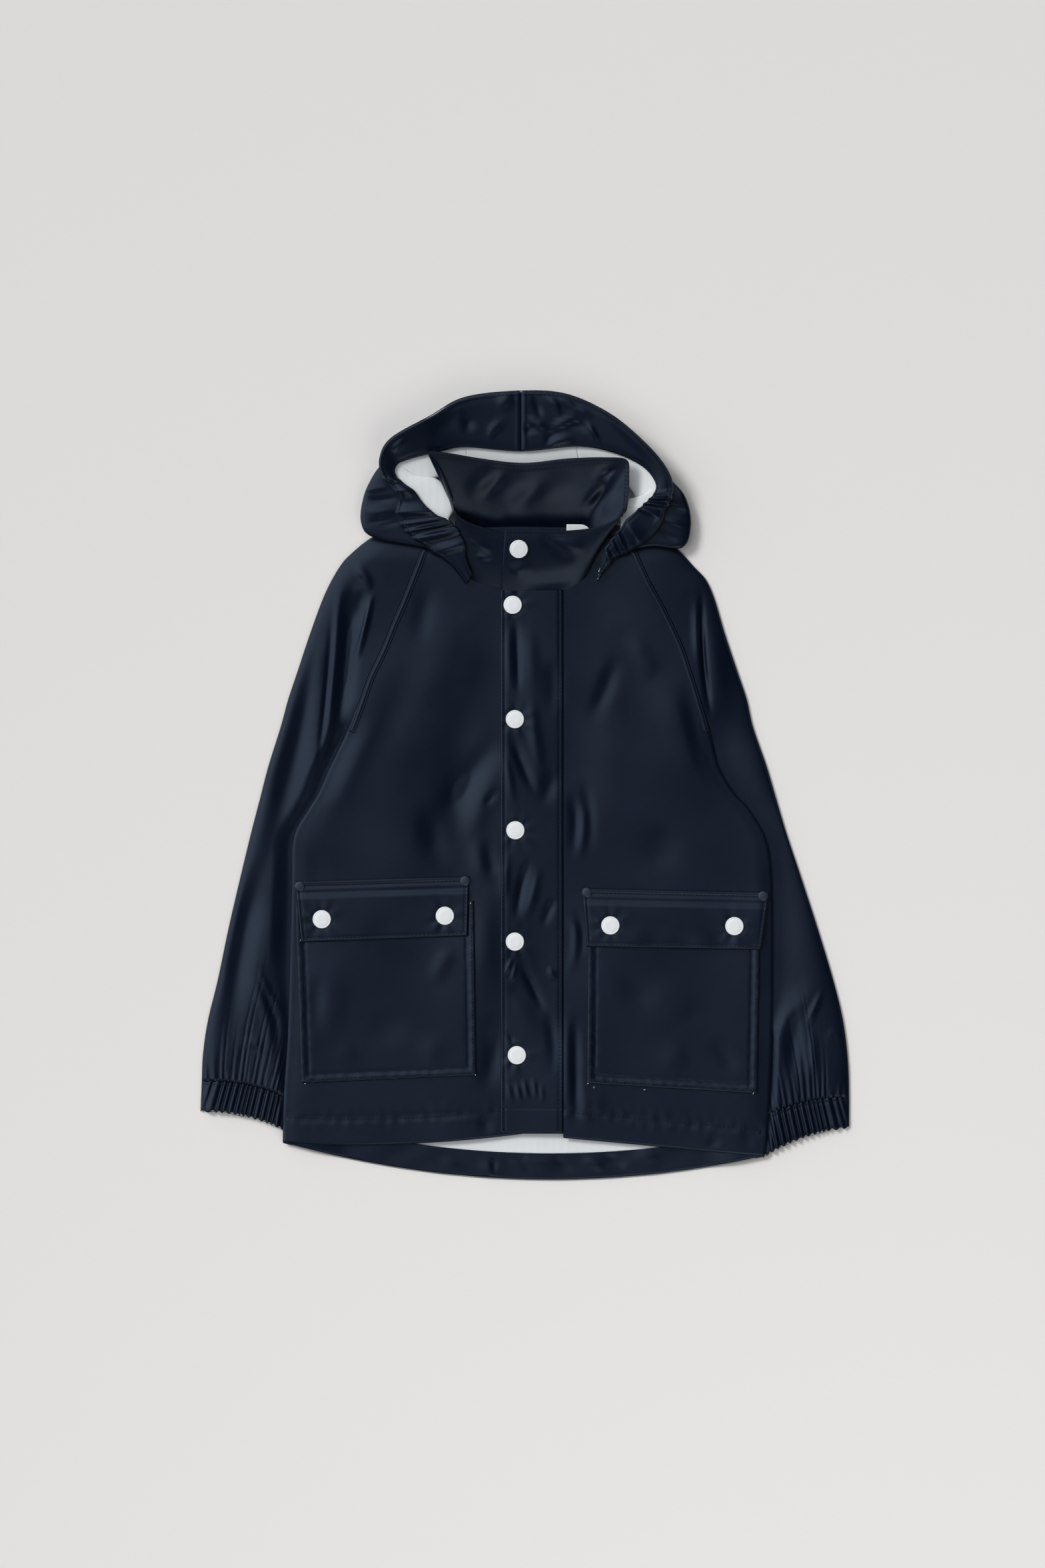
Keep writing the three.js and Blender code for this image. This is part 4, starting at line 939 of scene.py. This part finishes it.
# Neck label: a blank label of white woven satin ribbon, caught in the back neck seam.
LABEL_LEFT, LABEL_RIGHT = 34, 61.5
LABEL_TOP, LABEL_BOTTOM = 211.8, 199
LABEL_HEIGHT = 3.5
x, y = np.broadcast_arrays(
    np.linspace(LABEL_RIGHT, LABEL_LEFT, 20)[None, :], np.linspace(LABEL_TOP, LABEL_BOTTOM, 12)[:, None]
)
label = shell("Neck_label", grid_of(x, y, LABEL_HEIGHT + 0 * x), 0.5, [KNIT, KNIT])
fit(label, "white_knit", "neck_label")

# Hood: two sides and a centre strip in the coated cloth, lying open behind the collar. Each
# section runs from the free edge, over the facing's inner edge, down into the hood, out to its
# widest fold, and back underneath to the neck seam.
HOOD_CENTRE = 11
HOOD_SEAM = -0.003
HOOD_WALL = 0.8
hood_sections = np.array([
    [-47.8, 163.6, 8.6, -42.4, 171.7, 9.6, -50, 168, 6.75, -56, 176, 6.75],
    [-60.2, 179.3, 10.6, -47.3, 184.1, 12.2, -64, 181, 6.75, -57.5, 184, 6.75],
    [-74.3, 189.5, 11.2, -49.4, 198.2, 15.6, -79, 192, 6.75, -57.5, 197, 5.8],
    [-94.2, 204.7, 14, -60, 213.3, 16.5, -122, 201, 6.4, -57.5, 206, 4.6],
    [-102.9, 217.6, 16, -76, 222, 18.5, -133, 213, 5.6, -57.2, 210, 4.2],
    [-102.9, 235.4, 19, -90.5, 238.7, 19, -131, 234.4, 5, -55, 212.8, 3],
    [-114.8, 250, 21, -103.6, 250, 19, -123, 252, 4, -49.5, 214.2, 1.6],
    [-116.9, 265, 24, -103.7, 258.7, 18.5, -115, 262, 2, -43, 214.6, 1],
    [-107.7, 280.8, 24, -94.8, 263.5, 18, -102, 274, 0.5, -35, 214.6, 0.5],
    [-76.4, 298.6, 22, -66, 271, 17, -72, 288, 0.5, -26, 214.6, 0.5],
    [-48.3, 313.7, 20, -47.3, 273.8, 16.5, -47, 298, 0.5, -15, 214.6, 0.5],
    [-3, 318.7, 20, -3, 270.5, 16, -3, 300, 0.5, 0, 214.6, 0.5],
    [34.8, 315.9, 20, 41.9, 274.3, 16.5, 38, 299, 0.5, 15, 214.6, 0.5],
    [70.5, 299.2, 22, 71, 269.5, 17, 72, 287, 0.5, 26, 214.6, 0.5],
    [98.6, 275.4, 24, 94.2, 258.7, 18, 99, 268, 0.5, 36, 214.6, 0.5],
    [114.8, 255.4, 23, 105.2, 245.7, 18.5, 118, 249, 3.4, 44, 214.4, 1.4],
    [119.6, 239.2, 20, 104, 236, 19, 131, 233, 5, 58, 214, 2.6],
    [113.7, 223.6, 18, 94.2, 225.7, 18.5, 135, 211, 5.6, 72, 212, 4.2],
    [105, 204.7, 15, 87, 219.5, 17, 128, 193, 6.4, 84, 207, 4.8],
    [85.6, 190.6, 11.4, 76, 206.5, 14.4, 102, 194, 7, 78, 197, 5.9],
    [71.6, 183, 10.6, 65, 191.5, 12, 76, 186.5, 6.75, 69, 187, 6.75],
    [59.1, 165.8, 8.6, 60.2, 174.4, 9.6, 64, 172, 6.75, 58, 178, 6.75],
])


hood_folds = table(FOLD_COLUMNS, [
    [-131, 236, -118, 231, -104, 233, 3, -1.8],
    [-130, 226, -117, 222, -104, 222, 3, 1.8],
    [-127, 214, -112, 214, -100, 208, 2.5, -1.6],
    [-131, 246, -124, 240, -112, 244, 2.5, 1.4],
    [118, 250, 126, 240, 132, 228, 3, 1.6],
    [112, 232, 122, 226, 134, 222, 2.5, -1.8],
    [108, 214, 120, 214, 132, 206, 3, 1.6],
    [106, 206, 116, 202, 128, 200, 2.5, -1.4],
])


def unit(v):
    return v / (np.linalg.norm(v, axis=-1, keepdims=True) + 1e-9)


def raised_to(points, z):
    made = points.copy()
    made[..., 2] = z
    return made


def hood_shell(at):
    """Middle of the hood's cloth across each section, as twelve points"""
    v = spline(hood_sections, at)
    lip, facing = v[:, 0:3], v[:, 3:6]
    lay = np.maximum(v[:, 8], 0.5)
    neck = raised_to(v[:, 9:12], np.maximum(v[:, 11], 0.5))
    low = mixed(lay, facing[:, 2], 0.45)
    fold = np.concatenate([v[:, 6:8], mixed(lay, low, 0.5)[:, None]], axis=1)
    inward = unit(raised_to(facing - lip, 0))
    outward = unit(raised_to(fold - neck, 0))
    tabward = smoothstep(np.abs(at - HOOD_CENTRE), 6.5, 8.5)
    reach = mixed(14, 25, smoothstep(np.abs(at - HOOD_CENTRE), 1, 3.5))
    throat = facing + inward * mixed(reach, -8, tabward)[:, None]
    down = raised_to(throat, mixed(low, facing[:, 2], 0.5))
    facing = raised_to(facing, facing[:, 2] - 1.5)
    under = raised_to(throat - inward * 2.5, low)
    upper_fold = raised_to(fold - outward * 3, low)
    lower_fold = raised_to(fold - outward * 3, lay)
    beside_neck = raised_to(mixed(neck, lower_fold, 0.14), lay)
    return np.stack([
        lip, (lip + facing) / 2, facing, down, under, (under + upper_fold) / 2, upper_fold, fold,
        lower_fold, (lower_fold + beside_neck) / 2, beside_neck, neck,
    ], axis=1)


def corner_cut(lines):
    """Rounds each section by cutting the corners of its line twice"""
    for _ in range(2):
        near = mixed(lines[:, :-1], lines[:, 1:], 0.25)
        far = mixed(lines[:, :-1], lines[:, 1:], 0.75)
        between = np.stack([near, far], axis=2).reshape(len(lines), -1, 3)
        lines = np.concatenate([lines[:, :1], between[:, 1:-1], lines[:, -1:]], axis=1)
    return lines


for name, first, last, count, cut, area in (
    ("side_right", 1, 10 - HOOD_SEAM, 150, (0.17, 0.25), 0.02),
    ("centre", 10 + HOOD_SEAM, 12 - HOOD_SEAM, 50, (0.09, 0.17), 0.0135),
    ("side_left", 12 + HOOD_SEAM, 20, 140, (0.17, 0.25), 0.02),
):
    lines = corner_cut(hood_shell(np.linspace(first, last, count)))
    lines[..., 2] = np.maximum(lines[..., 2] + folded(hood_folds, lines[..., 0], lines[..., 1]), 0.5)
    panel = shell("Hood_" + name, lines, HOOD_WALL, [KNIT, NAVY], middle=True)
    fit(panel, "coated_cloth", "hood_" + name)

# Hood facing: a band of the coated cloth along the hood's free edge, in two halves seamed at the
# top. It is turned outwards and stitched twice at the edge and once along its inner side. At
# both sides it is a casing for elastic, which gathers it.
FACING_LIFT = 1.7
GATHER_DEPTH = 3.4
GATHER_SWAY = 2.6
facing_folds = table(FOLD_COLUMNS, [
    [0, 294, 10, 293, 21, 288, 2.5, 1.8],
    [21, 288, 32, 294, 47, 296, 2.5, 1.8],
    [18, 275, 21, 283, 34, 286, 2.5, -1.4],
    [13, 315, 24, 309, 28, 299, 2.5, 1.4],
    [4, 314, 10, 307, 14, 297, 3, -1.2],
    [-1, 282, 4, 289, 12, 286, 3, -1.6],
    [49, 294, 55, 286, 60, 277, 2.5, 1.3],
    [34, 301, 45, 303, 56, 297, 3, 1.0],
    [30, 291, 42, 292, 51, 286, 3, -1.2],
    [19, 313, 34, 310, 43, 301, 3, 1.0],
    [17, 273, 29, 279, 43, 280, 3, 1.2],
    [-23, 304, -16, 311, -8, 316, 5, 1.2],
    [-28, 280, -25, 289, -11, 297, 3, 1.1],
    [-44, 301, -46, 294, -40, 286, 5, -1.0],
    [55, 313, 77, 292, 105, 260, 5, 1.2],
    [-108, 269, -102, 275, -94, 282, 3, 1.0],
    [-83, 282, -66, 294, -51, 299, 8, -1.0],
])


def gathers(at, w):
    """Uneven pleats where the elastic gathers the facing"""
    sideward = np.abs(at - HOOD_CENTRE)
    share = smoothstep(sideward, 4.6, 5.4) * (1 - smoothstep(sideward, 9.0, 9.6))
    slanted = at + 0.12 * np.sin(2.3 * at) + 0.16 * (w - 0.5)
    crest = np.abs(np.cos(math.pi * 1.5 * slanted + 1.1 * np.sin(1.9 * slanted)))
    return share * (1 - crest**1.4) * (0.75 + 0.25 * np.sin(3.1 * at))


def facing_grid(at, w):
    """Points of the facing's top: along it in sections, and in from the free edge from 0 to 1"""
    at, w = np.broadcast_arrays(at, w)
    v = spline(hood_sections, at)
    lip, facing = v[..., 0:3], v[..., 3:6]
    wide = np.linalg.norm(facing - lip, axis=-1)
    spot = mixed(lip, facing, w[..., None])
    inside = np.clip(w, 0, 1)
    spot[..., 2] += FACING_LIFT + 0.5 + GATHER_DEPTH * gathers(at, w) * np.sin(math.pi * mixed(0.12, 0.88, inside))
    spot[..., 2] += 1.2 * folded(facing_folds, spot[..., 0], spot[..., 1])
    inward = unit(raised_to(facing - lip, 0))
    spot += inward * ((w - 0.5) * GATHER_SWAY * gathers(at, w))[..., None]
    seam = np.abs(at - HOOD_CENTRE) * 48
    spot[..., 2] += groove(seam, 0, 1.1, 0.7) + groove(seam, 3.2, 1.3, -0.25)
    from_lip, from_inner = w * wide, (1 - w) * wide
    spot[..., 2] += groove(from_lip, 3.2, 1.2, 0.4) + groove(from_inner, 2, 0.9, 0.35)
    spot[..., 2] += rolled(from_lip, 1.7, 1.1) + rolled(from_inner, 0.7, 1)
    return spot


for name, first, last in (("right", 0, HOOD_CENTRE - HOOD_SEAM), ("left", HOOD_CENTRE + HOOD_SEAM, 21)):
    at = np.linspace(first, last, 400)[:, None]
    w = np.concatenate([[-0.012], stops(27, 2)])[None, :]
    facing = shell("Hood_facing_" + name, facing_grid(at, w), 0.8, [NAVY, KNIT])
    fit(facing, "coated_cloth", "hood_facing_" + name)

# Press studs: brass caps lacquered white, with a low rounded rim round a flat middle. The
# rivets at the flaps' upper corners are smaller and lacquered dark.
STUD_PROFILE = [
    [0, 2.0], [3, 2.02], [5.9, 2.02], [6.25, 1.9], [6.6, 2.08], [7.0, 2.05],
    [7.3, 1.75], [7.45, 1.2], [7.4, 0.4], [7.1, 0], [0, 0],
]
RIVET_PROFILE = [[0, 1.1], [2.6, 1.05], [3.6, 0.85], [4.0, 0.5], [4.1, 0.1], [3.8, 0], [0, 0]]
RIVETS = {"right": [[-182.3, -81.3], [-48.5, -77]], "left": [[50.3, -86.3], [193, -89.3]]}
COLLAR_STUD = (-4.9, 191.7, 16.6)
COLLAR_STUD_LEAN = 0.18
LACQUER_WHITE, _, _ = material("White_lacquered_brass", Roughness=0.28)
LACQUER_WHITE.node_tree.nodes["Principled BSDF"].inputs["Base Color"].default_value = linear("#e6e7e6")
LACQUER_DARK, _, _ = material("Dark_lacquered_brass", Roughness=0.33)
LACQUER_DARK.node_tree.nodes["Principled BSDF"].inputs["Base Color"].default_value = linear("#232b38")


def turned(name, profile, finish, spot, lean=0, around=48):
    """A round cap turned from its profile, which runs from the middle of its top to that of its foot"""
    r, h = np.array(profile[1:-1], float).T
    angle = np.linspace(0, 2 * math.pi, around, endpoint=False)[None, :]
    ring = grid_of(r[:, None] * np.cos(angle), r[:, None] * np.sin(angle), h[:, None] + 0 * angle)
    points = np.concatenate([ring.reshape(-1, 3), [[0, 0, profile[0][1]], [0, 0, 0]]])
    lean_z, lean_y = math.cos(lean), math.sin(lean)
    points = points @ np.array([[1, 0, 0], [0, lean_z, lean_y], [0, -lean_y, lean_z]])
    points = (points + np.array(spot)) * MM
    ids = np.arange(len(r) * around).reshape(len(r), around)
    after = np.roll(ids, -1, axis=1)
    sides_ = np.stack([ids[:-1], ids[1:], after[1:], after[:-1]], axis=-1).reshape(-1, 4).tolist()
    top, foot = len(points) - 2, len(points) - 1
    sides_ += [[a, b, top] for a, b in zip(ids[0], after[0])]
    sides_ += [[b, a, foot] for a, b in zip(ids[-1], after[-1])]
    mesh = bpy.data.meshes.new(name)
    mesh.from_pydata(points.tolist(), [], sides_)
    mesh.shade_smooth()
    mesh.materials.append(finish)
    made = bpy.data.objects.new(name, mesh)
    bpy.context.scene.collection.objects.link(made)
    return made


for i, (stud_x, stud_y) in enumerate(placket_studs, 1):
    z = body_top(np.array([stud_x]), np.array([stud_y]))[0] + PLACKET_RISE + 0.2
    stud = turned(f"Stud_placket_{i}", STUD_PROFILE, LACQUER_WHITE, (stud_x, stud_y, z))
    fit(stud, "press_stud", f"snap_placket_{i}")
for i, (stud_x, stud_y) in enumerate(flap_studs["right"] + flap_studs["left"], 1):
    z = body_top(np.array([stud_x]), np.array([stud_y]))[0] + flap_rise(1) + 0.2
    stud = turned(f"Stud_flap_{i}", STUD_PROFILE, LACQUER_WHITE, (stud_x, stud_y, z))
    fit(stud, "press_stud", f"snap_flap_{i}")
stud = turned("Stud_collar", STUD_PROFILE, LACQUER_WHITE, COLLAR_STUD, COLLAR_STUD_LEAN)
fit(stud, "press_stud", "snap_collar")
for i, (rivet_x, rivet_y) in enumerate(RIVETS["right"] + RIVETS["left"], 1):
    z = body_top(np.array([rivet_x]), np.array([rivet_y]))[0] + flap_rise(0) + 0.2
    rivet = turned(f"Rivet_{i}", RIVET_PROFILE, LACQUER_DARK, (rivet_x, rivet_y, z), around=32)
    fit(rivet, "rivet", f"rivet_{i}")

# Thread: the seams' topstitching in navy polyester thread, about eight stitches in 25 mm. Each
# stitch is a small rounded bar that lies half sunk in the cloth. Where the sewer backed up at
# the pockets' corners, short ends of white thread show.
STITCH_PITCH = 3.3
STITCH_RINGS = [[-1.1, 0.15], [-0.7, 0.38], [0.7, 0.38], [1.1, 0.15]]
THREAD, _, _ = material("Navy_polyester_thread", Roughness=0.7)
THREAD.node_tree.nodes["Principled BSDF"].inputs["Base Color"].default_value = linear("#05080f")
WHITE_THREAD, _, _ = material("White_polyester_thread", Roughness=0.7)
WHITE_THREAD.node_tree.nodes["Principled BSDF"].inputs["Base Color"].default_value = linear("#dfe2e4")


def inset(grid, distance):
    """A line of points on a piece, at a distance in from its first column"""
    step = np.linalg.norm(np.diff(grid, axis=1), axis=2)
    gone = np.concatenate([np.zeros((len(grid), 1)), np.cumsum(step, axis=1)], axis=1)
    return np.array([[np.interp(distance, g, row[:, k]) for k in range(3)] for g, row in zip(gone, grid)])


def down_from_top(grid):
    return grid.transpose(1, 0, 2)


def up_from_bottom(grid):
    return grid.transpose(1, 0, 2)[:, ::-1]


def evenly(line, margin):
    """Spots a stitch apart along a line, and the direction there"""
    gone = np.concatenate([[0], np.cumsum(np.linalg.norm(np.diff(line, axis=0), axis=1))])
    at = np.arange(margin, gone[-1] - margin, STITCH_PITCH)
    spot, before, after = (
        np.array([np.interp(at + shift, gone, line[:, k]) for k in range(3)]).T for shift in (0, -0.6, 0.6)
    )
    return spot, after - before


def sewn(name, thread, spots, runs, size=1):
    """One object with a stitch at each spot, lying along its run"""
    run = runs / np.linalg.norm(runs, axis=1, keepdims=True)
    side = np.cross(run, [0, 0, 1])
    side /= np.linalg.norm(side, axis=1, keepdims=True)
    rise = np.cross(side, run)
    angle = np.linspace(0, 2 * math.pi, 5, endpoint=False)
    rings = []
    for along, radius in STITCH_RINGS:
        round_it = side[:, None] * np.cos(angle)[None, :, None] + rise[:, None] * np.sin(angle)[None, :, None]
        rings.append(spots[:, None] + (run[:, None] * along + round_it * radius) * size)
    points = np.stack(rings, axis=1)
    first = np.arange(len(STITCH_RINGS) - 1)[:, None] * 5
    k = np.arange(5)[None, :]
    after = (k + 1) % 5
    bars = np.stack([first + k, first + after, first + after + 5, first + k + 5], axis=-1).reshape(-1, 4)
    ends = [[4, 3, 2, 1, 0], [15, 16, 17, 18, 19]]
    faces = []
    for start in np.arange(len(spots)) * 20:
        faces += (bars + start).tolist() + [[i + start for i in end] for end in ends]
    mesh = bpy.data.meshes.new(name)
    mesh.from_pydata((points.reshape(-1, 3) * MM).tolist(), [], faces)
    mesh.shade_smooth()
    mesh.materials.append(thread)
    made = bpy.data.objects.new(name, mesh)
    bpy.context.scene.collection.objects.link(made)
    return fit(made, "coated_cloth")


def sew(name, *lines, margin=3):
    spots, runs = zip(*(evenly(line, margin) for line in lines))
    sewn(name, THREAD, np.concatenate(spots), np.concatenate(runs))


placket_grid = laid["Placket"]
sew("Stitches_placket", inset(placket_grid[:, ::-1], 2.9), inset(placket_grid, 2.9))
sew("Stitches_placket_hem", inset(up_from_bottom(placket_grid), HEM_STITCH))
collar_lines = [inset(up_from_bottom(laid["Collar"]), distance) for distance in (1.8, 5.2)]
for line in collar_lines:
    line[:, 2] += np.where(line[:, 1] < 222, 1.05, 0)
sew("Stitches_collar", *collar_lines)
for name in sides:
    front_piece, fell_piece = laid["Front_" + name], laid["Raglan_fell_" + name]
    pocket_piece, flap_piece = laid["Pocket_" + name], laid["Pocket_flap_" + name]
    facing_piece, cuff_piece = laid["Hood_facing_" + name], laid["Cuff_" + name]
    sew("Stitches_hem_" + name, inset(up_from_bottom(front_piece), HEM_STITCH))
    sew("Stitches_fell_" + name, inset(fell_piece, 0.8), inset(fell_piece[:, ::-1], 0.8))
    frame_lines = [
        inset(turned_piece, RIM_WIDTH / 2)
        for turned_piece in (pocket_piece, pocket_piece[:, ::-1], up_from_bottom(pocket_piece))
    ]
    sew("Stitches_pocket_" + name, *frame_lines)
    flap_lines = [
        inset(turned_piece, 2.8) for turned_piece in (flap_piece, flap_piece[:, ::-1], up_from_bottom(flap_piece))
    ]
    sew("Stitches_flap_" + name, *flap_lines, inset(down_from_top(flap_piece), 4.2))
    facing_lines = [inset(facing_piece, 3.6), inset(facing_piece[:, ::-1], 2)]
    sew("Stitches_facing_" + name, *facing_lines)
    cuff_lines = [inset(down_from_top(cuff_piece), 3.1), inset(up_from_bottom(cuff_piece), 1.8)]
    sew("Stitches_cuff_" + name, *(line[line[:, 2] > 1.6] for line in cuff_lines))

THREAD_ENDS = [
    [-182, -125, 40], [-178, -241, 10], [-44, -95, 70], [51, -241, 20], [56, -244, 80], [97, -246, 5],
    [185, -249, 60], [189, -100, 75], [-40, -234, 100],
]
end_x, end_y, end_turn = np.array(THREAD_ENDS, float).T
end_z = body_top(end_x, end_y) + POCKET_LIFT + 1.4
end_run = grid_of(np.cos(np.radians(end_turn)), np.sin(np.radians(end_turn)), 0)
sewn("Thread_ends", WHITE_THREAD, grid_of(end_x, end_y, end_z), end_run, 0.6)

# Table, light and camera: a pale matt table, broad soft light from both sides, and overhead a
# dim panel and a small softbox, which are all that the satin cloth reflects. The camera is
# straight above, 6 m up, so that the coat shows almost without perspective.
WINDOW_STRENGTH = 1.8
BOUNCE_STRENGTH = 0.35
SOFTBOX_WATTS = 4.0
PANEL_DIRECTION = (-0.65, 0.47, 0.6)
PANEL_BRIGHT, ROOM_DIM, WALLS_BRIGHT = 1.6, 0.02, 0.1
PICTURE_HEIGHT = 1270
PICTURE_MIDDLE = (-1.9, 1.6)
CAMERA_HEIGHT = 6000
SENSOR = 36
PAPER, _, _ = material("Matt_white_table", Roughness=0.9)
PAPER.node_tree.nodes["Principled BSDF"].inputs["Base Color"].default_value = linear("#e8e4df")
mesh = bpy.data.meshes.new("Table")
mesh.from_pydata([(-4, -4, -0.0003), (4, -4, -0.0003), (4, 4, -0.0003), (-4, 4, -0.0003)], [], [(0, 1, 2, 3)])
mesh.materials.append(PAPER)
floor = bpy.data.objects.new("Table", mesh)
bpy.context.scene.collection.objects.link(floor)


def lamp(name, kind, strength, where):
    """A lamp that faces the coat"""
    light = bpy.data.lights.new(name, kind)
    light.energy = strength
    made = bpy.data.objects.new(name, light)
    made.location = where
    made.rotation_euler = (-made.location).to_track_quat("-Z", "Y").to_euler()
    bpy.context.scene.collection.objects.link(made)
    return light


lamp("Window", "SUN", WINDOW_STRENGTH, (-1.0, 0.75, 1.1)).angle = math.radians(18)
lamp("Bounce", "SUN", BOUNCE_STRENGTH, (1.0, -0.5, 1.3)).angle = math.radians(50)
for name in ("Window", "Bounce"):
    bpy.data.objects[name].visible_glossy = False
lamp("Softbox", "AREA", SOFTBOX_WATTS, (0.35, -1.2, 1.3)).size = 1.0
sky = bpy.data.worlds.new("Studio")
sky.use_nodes = True
tree = sky.node_tree
around = add(tree, "ShaderNodeTexCoord").outputs["Generated"]
height = add(tree, "ShaderNodeSeparateXYZ", {"Vector": around}).outputs["Z"]
toward = add(tree, "ShaderNodeVectorMath", {0: around, 1: PANEL_DIRECTION}, operation="DOT_PRODUCT")
panel = add(tree, "ShaderNodeMapRange", {"Value": toward.outputs["Value"], "From Min": 0.45, "From Max": 0.97,
    "To Min": ROOM_DIM, "To Max": PANEL_BRIGHT}, interpolation_type="SMOOTHSTEP")
walls = add(tree, "ShaderNodeMapRange", {"Value": height, "From Min": 0.25, "From Max": 0.05, "To Max": WALLS_BRIGHT})
total = add(tree, "ShaderNodeMath", {0: panel.outputs[0], 1: walls.outputs[0]}, operation="ADD")
background = tree.nodes["Background"]
background.inputs["Color"].default_value = linear("#e4eaf3")
tree.links.new(total.outputs[0], background.inputs["Strength"])
bpy.context.scene.world = sky
bpy.context.scene.view_settings.view_transform = "Standard"

eye = bpy.data.cameras.new("Camera")
eye.sensor_width = SENSOR
eye.lens = SENSOR * CAMERA_HEIGHT / PICTURE_HEIGHT
camera = bpy.data.objects.new("Camera", eye)
camera.location = (PICTURE_MIDDLE[0] * MM, PICTURE_MIDDLE[1] * MM, (CAMERA_HEIGHT + LOFT) * MM)
bpy.context.scene.collection.objects.link(camera)
bpy.context.scene.camera = camera
